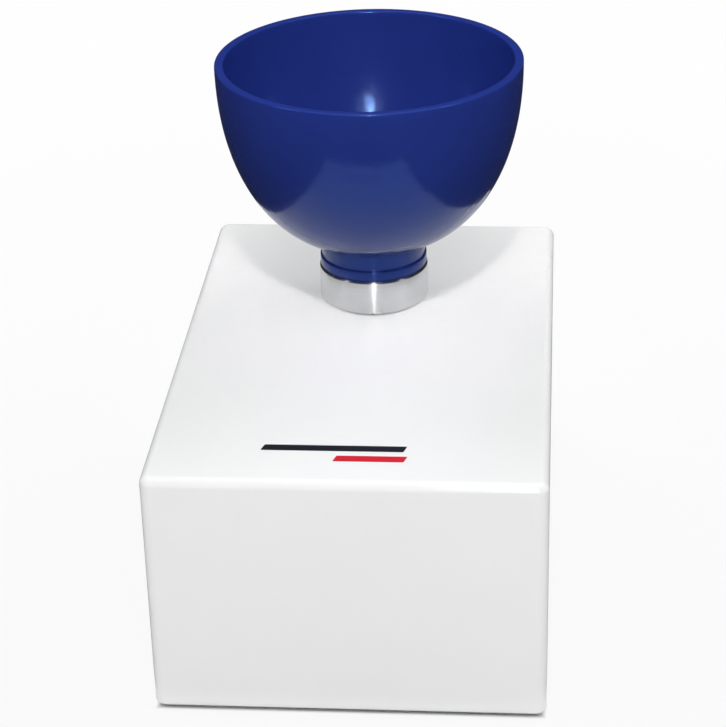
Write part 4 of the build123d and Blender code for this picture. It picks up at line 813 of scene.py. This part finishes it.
def makeDial():
    middleY, middleZ = dial["centre"]
    reach, length = dial["numberRadius"], dial["tickTo"] - dial["tickFrom"]
    ticks = []
    for step in range(dial["marks"]):
        angle = math.radians(dial["start"] - dial["sweep"] * step / (dial["marks"] - 1))
        width = dial["tickWidth"] * (dial["broader"] if step % dial["broadEvery"] == 0 else 1.0)
        tick = layFlat((dial["tickFrom"] + dial["tickTo"]) / 2, 0, 0, length, width)
        raiseFlat(dial["tickCorner"], 2, prints["thickness"])
        turnFlat(tick, angle)
        ticks.append(tick)
        if step % dial["numberEvery"] == 0:
            makeMark("dialNumber" + str(step), str(step), dial["numberSize"],
                     middleY - reach * math.cos(angle), middleZ + reach * math.sin(angle))
    deselect()
    for tick in ticks:
        tick.select_set(True)
    bpy.context.view_layer.objects.active = ticks[0]
    bpy.ops.object.join()
    scale = bpy.context.object
    scale.name = "dialTicks"
    faceLeft(scale, prints["trayFloor"] - prints["trayGap"], middleY, middleZ)
    paint(scale, inks["grey"])
    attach(scale, "case")


def makePointer():
    # white line laid in the knob's pointer groove
    piece = layFlat(pointer["middle"], 0, 0, pointer["length"], pointer["width"])
    piece.name = "knobPointerLine"
    raiseFlat(pointer["corner"], 3, pointer["thickness"])
    turnFlat(piece, math.radians(dial["start"]))
    faceLeft(piece, pointer["grooveFloor"], *dial["centre"])
    paint(piece, inks["white"])
    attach(piece, "speed_knob")


makeStripe("worktopStripeBlack", inks["black"], *prints["blackStripe"])
makeStripe("worktopStripeRed", inks["red"], *prints["redStripe"])
makeDial()
makePointer()
switchY, switchZ = prints["switchMiddle"]
makeMark("switchMarkOn", "I", prints["switchMarkSize"], switchY, switchZ + prints["switchMarkRise"])
makeMark("switchMarkOff", "O", prints["switchMarkSize"], switchY, switchZ - prints["switchMarkRise"])
print("prints made")


# floor, lamps, world and camera, with their lengths in metres

studio = {
    "floorSize": 9.0,
    "floorColour": "#CCCCCC",
    "glowNear": 0.88,
    "glowFar": 0.97,
    "fadeFrom": 0.15,
    "fadeTo": 0.75,
    "shadeHalfWidth": 0.084,  # under the case the floor doesn't glow
    "shadeHalfDepth": 0.131,
    "shadeEdge": 0.001,
    "worldLight": 0.02,
    "roomRadius": 1.7,
    "roomHeight": 3.4,
    "roomBack": 0.35,  # the room's wall ends here, beyond the spindle
    # the dim glow of the sheets that paint a dark reflection of an unlit room and table
    "darkReflectionTone": "#2C2C2F",
    "tableHole": (0.19, 0.285),
    "tableReach": (14, 9.5),  # how many times its hole the dark table is in size
    "cardLift": 0.001,
}
camera = {
    "place": (0.0857, -0.9591, 0.5974),
    "turn": (62.791, 1.414, 4.493),
    "lens": 116.0,
    "sensor": 36.0,
    "clip": (0.01, 20.0),
}
bowlGlint = {"tone": (1.0, 0.72, 0.55), "lit": "bowlOnly"}
lamps = {
    # these eight light without showing in the gloss
    "highKey": dict(azimuth=4, elevation=60, distance=1.7, size=(1.2, 1.2), power=9.8, glossy=False),
    "bowlKey": dict(azimuth=4, elevation=62, distance=1.2, size=(0.3, 0.3), power=15.0,
                    aim=(0, 0.085, 0.21), lit="bowlOnly", glossy=False),
    "leftFill": dict(azimuth=-80, elevation=40, distance=1.6, size=(1.0, 1.0), power=7.0, glossy=False),
    "rightFill": dict(azimuth=84, elevation=40, distance=1.6, size=(1.0, 1.0), power=7.2, glossy=False),
    "leftBackFill": dict(azimuth=-140, elevation=35, distance=1.6, size=(1.0, 1.0), power=12.0,
                         glossy=False),
    "rightBackFill": dict(azimuth=140, elevation=35, distance=1.6, size=(1.0, 1.0), power=13.0,
                          glossy=False),
    "lowFill": dict(azimuth=4, elevation=8, distance=1.6, size=(1.2, 0.4), power=5.2, glossy=False),
    "ringKey": dict(azimuth=4, elevation=50, distance=1.2, size=(0.1, 0.1), power=0.043,
                    aim=(0, 0.07, 0.14), spread=12, lit="notBowl", glossy=False),
    # and these draw the streaks and spots
    "frontStrip": dict(azimuth=4, elevation=30, distance=1.35, size=(0.035, 1.0), power=2.3),
    "lowStrip": dict(azimuth=4, elevation=11, distance=1.35, size=(0.10, 0.2), power=1.0),
    "frontSpot": dict(azimuth=4, elevation=32, distance=1.35, size=(0.035, 0.035), power=0.9),
    "flash": dict(azimuth=5, elevation=23, distance=1.2, size=(0.12, 0.26), power=3.2,
                  aim=(0, 0.1, 0.19), **bowlGlint),
    "flashHalo": dict(azimuth=5, elevation=21, distance=1.2, size=(0.5, 0.3), power=1.0,
                      aim=(0, 0.1, 0.19), **bowlGlint),
    "leftSpot": dict(azimuth=-62, elevation=30, distance=1.35, size=(0.07, 0.07), power=1.2,
                     aim=(0, 0.05, 0.21), lit="bowlOnly"),
    "rightSpot": dict(azimuth=64, elevation=30, distance=1.35, size=(0.07, 0.07), power=1.2,
                      aim=(0, 0.05, 0.21), lit="bowlOnly"),
    "leftStrip": dict(azimuth=-65, elevation=35, distance=1.35, size=(0.06, 0.8), power=0.5),
    "rightStrip": dict(azimuth=75, elevation=35, distance=1.35, size=(0.06, 0.8), power=0.7),
}


def seenRays(material):
    # 1 on the rays that reach the eye, straight, mirrored or through a clear body, and 0 on others
    rays = addNode(material, "ShaderNodeLightPath")
    seen = addNode(material, "ShaderNodeMath", {"operation": "MAXIMUM"},
                   {0: rays.outputs["Is Camera Ray"], 1: rays.outputs["Is Glossy Ray"]})
    seen = addNode(material, "ShaderNodeMath", {"operation": "MAXIMUM"},
                   {0: seen.outputs["Value"], 1: rays.outputs["Is Transmission Ray"]})
    return seen.outputs["Value"]


def makeFloor():
    # a matt floor that takes the shadow, with a glow laid over it that only seen rays meet
    deselect()
    bpy.ops.mesh.primitive_plane_add(size=studio["floorSize"], location=(0, 0, 0))
    floor = bpy.context.object
    floor.name = "studioFloor"
    settle(floor)
    material = blankMaterial("paleStudioFloor")
    seen = seenRays(material)
    place = addNode(material, "ShaderNodeTexCoord").outputs["Object"]
    reach = addNode(material, "ShaderNodeVectorMath", {"operation": "LENGTH"}, {0: place})
    fade = addNode(material, "ShaderNodeMapRange",
                   {"interpolation_type": "SMOOTHSTEP",
                    "From Min": studio["fadeFrom"], "From Max": studio["fadeTo"],
                    "To Min": studio["glowNear"], "To Max": studio["glowFar"]},
                   {"Value": reach.outputs["Value"]})
    split = addNode(material, "ShaderNodeSeparateXYZ", links={"Vector": place})
    beyond = []
    for axis, half in (("X", studio["shadeHalfWidth"]), ("Y", studio["shadeHalfDepth"])):
        away = addNode(material, "ShaderNodeMath", {"operation": "ABSOLUTE"}, {0: split.outputs[axis]})
        away = addNode(material, "ShaderNodeMath", {"operation": "SUBTRACT", 1: half},
                       {0: away.outputs["Value"]})
        beyond.append(away.outputs["Value"])
    outside = addNode(material, "ShaderNodeMath", {"operation": "MAXIMUM"},
                      {0: beyond[0], 1: beyond[1]})
    beside = addNode(material, "ShaderNodeMapRange",
                     {"From Min": -studio["shadeEdge"], "From Max": studio["shadeEdge"]},
                     {"Value": outside.outputs["Value"]})
    clear = addNode(material, "ShaderNodeMath", {"operation": "MULTIPLY"},
                    {0: fade.outputs["Result"], 1: beside.outputs["Result"]})
    share = addNode(material, "ShaderNodeMath", {"operation": "MULTIPLY"},
                    {0: seen, 1: clear.outputs["Value"]})
    glow = addNode(material, "ShaderNodeEmission", {"Color": (1, 1, 1, 1), "Strength": 1.0})
    matt = addNode(material, "ShaderNodeBsdfDiffuse", {"Color": linear(studio["floorColour"])})
    mixed = addNode(material, "ShaderNodeMixShader",
                    links={0: share.outputs["Value"], 1: matt.outputs["BSDF"],
                           2: glow.outputs["Emission"]})
    paint(floor, finishMaterial(material, mixed.outputs["Shader"]))


def makeWorld():
    # white where it is seen, and a faint light on everything else
    world = bpy.data.worlds.new("paleStudio")
    bpy.context.scene.world = world
    world.use_nodes = True
    world.node_tree.nodes.clear()
    level = addNode(world, "ShaderNodeMapRange", {"To Min": studio["worldLight"], "To Max": 1.0},
                    {"Value": seenRays(world)})
    light = addNode(world, "ShaderNodeBackground", {"Color": (1, 1, 1, 1)},
                    {"Strength": level.outputs["Result"]})
    addNode(world, "ShaderNodeOutputWorld", links={"Surface": light.outputs["Background"]})


def makeDarkRoom():
    # dim glowing sheets, seen only in reflections: they paint the dark reflection of an unlit room on
    #     # the camera's side and of a dark table round the case
    lift = studio["cardLift"]
    deselect()
    bpy.ops.mesh.primitive_circle_add(vertices=64, radius=studio["roomRadius"], location=(0, 0, lift))
    room = bpy.context.object
    room.name = "darkRoom"
    for edge in room.data.edges:
        edge.select = all(room.data.vertices[v].co.y < studio["roomBack"] for v in edge.vertices)
    bpy.ops.object.mode_set(mode="EDIT")
    bpy.ops.mesh.select_mode(type="EDGE")
    bpy.ops.mesh.extrude_edges_move(TRANSFORM_OT_translate={"value": (0, 0, studio["roomHeight"])})
    bpy.ops.object.mode_set(mode="OBJECT")
    settle(room)
    deselect()
    bpy.ops.mesh.primitive_plane_add(size=1, location=(0, 0, lift))
    table = bpy.context.object
    table.name = "darkTable"
    table.scale = (*studio["tableHole"], 1)
    settle(table)
    bpy.ops.object.mode_set(mode="EDIT")
    bpy.ops.mesh.select_all(action="SELECT")
    bpy.ops.mesh.select_mode(type="EDGE")
    bpy.ops.mesh.delete(type="ONLY_FACE")
    bpy.ops.mesh.select_all(action="SELECT")
    bpy.ops.mesh.extrude_edges_move()
    bpy.ops.transform.resize(value=(*studio["tableReach"], 1), center_override=(0, 0, lift))
    bpy.ops.object.mode_set(mode="OBJECT")
    material = blankMaterial("paintedDarkReflection")
    # a dim glow that lights nothing else: the painted dark reflection of the room and table
    dim = addNode(material, "ShaderNodeEmission",
                  {"Color": linear(studio["darkReflectionTone"]), "Strength": 1.0})
    finishMaterial(material, dim.outputs["Emission"])
    for card in (room, table):
        paint(card, material)
        card.visible_camera = card.visible_diffuse = False
        card.visible_transmission = card.visible_shadow = False


def lampTargets(name, piece, state):
    # what a lamp can be linked to: INCLUDE lights the piece alone, EXCLUDE lights everything else
    targets = bpy.data.collections.new(name)
    targets.objects.link(piece)
    targets.collection_objects[0].light_linking.link_state = state
    return targets


def makeLamp(name, azimuth, elevation, distance, size, power, aim=(0, 0, 0.13), tone=(1, 1, 1),
             spread=180, lit=None, glossy=True):
    # a lamp aimed at one point of the object; azimuth 0 is in front and grows to the right
    a, e = math.radians(azimuth), math.radians(elevation)
    way = Vector((math.sin(a) * math.cos(e), -math.cos(a) * math.cos(e), math.sin(e)))
    deselect()
    bpy.ops.object.light_add(type="AREA", location=Vector(aim) + way * distance)
    lamp = bpy.context.object
    lamp.name = name
    lamp.rotation_euler = way.to_track_quat("Z", "Y").to_euler()
    lamp.data.shape = "RECTANGLE"
    lamp.data.size, lamp.data.size_y = size
    lamp.data.energy = power
    lamp.data.color = tone
    lamp.data.spread = math.radians(spread)
    lamp.visible_glossy = glossy
    if lit:
        lamp.light_linking.receiver_collection = targets[lit]


def makeCamera():
    deselect()
    bpy.ops.object.camera_add(location=camera["place"],
                              rotation=[math.radians(a) for a in camera["turn"]])
    eye = bpy.context.object
    eye.name = "studioCamera"
    eye.data.lens = camera["lens"]
    eye.data.sensor_width = camera["sensor"]
    eye.data.clip_start, eye.data.clip_end = camera["clip"]
    bpy.context.scene.camera = eye


makeFloor()
makeWorld()
makeDarkRoom()
targets = {
    "bowlOnly": lampTargets("bowlOnly", mixingBowl, "INCLUDE"),
    "notBowl": lampTargets("notBowl", mixingBowl, "EXCLUDE"),
}
for name, values in lamps.items():
    makeLamp(name, **values)
makeCamera()
bpy.context.scene.view_settings.view_transform = "Standard"
print("studio made")
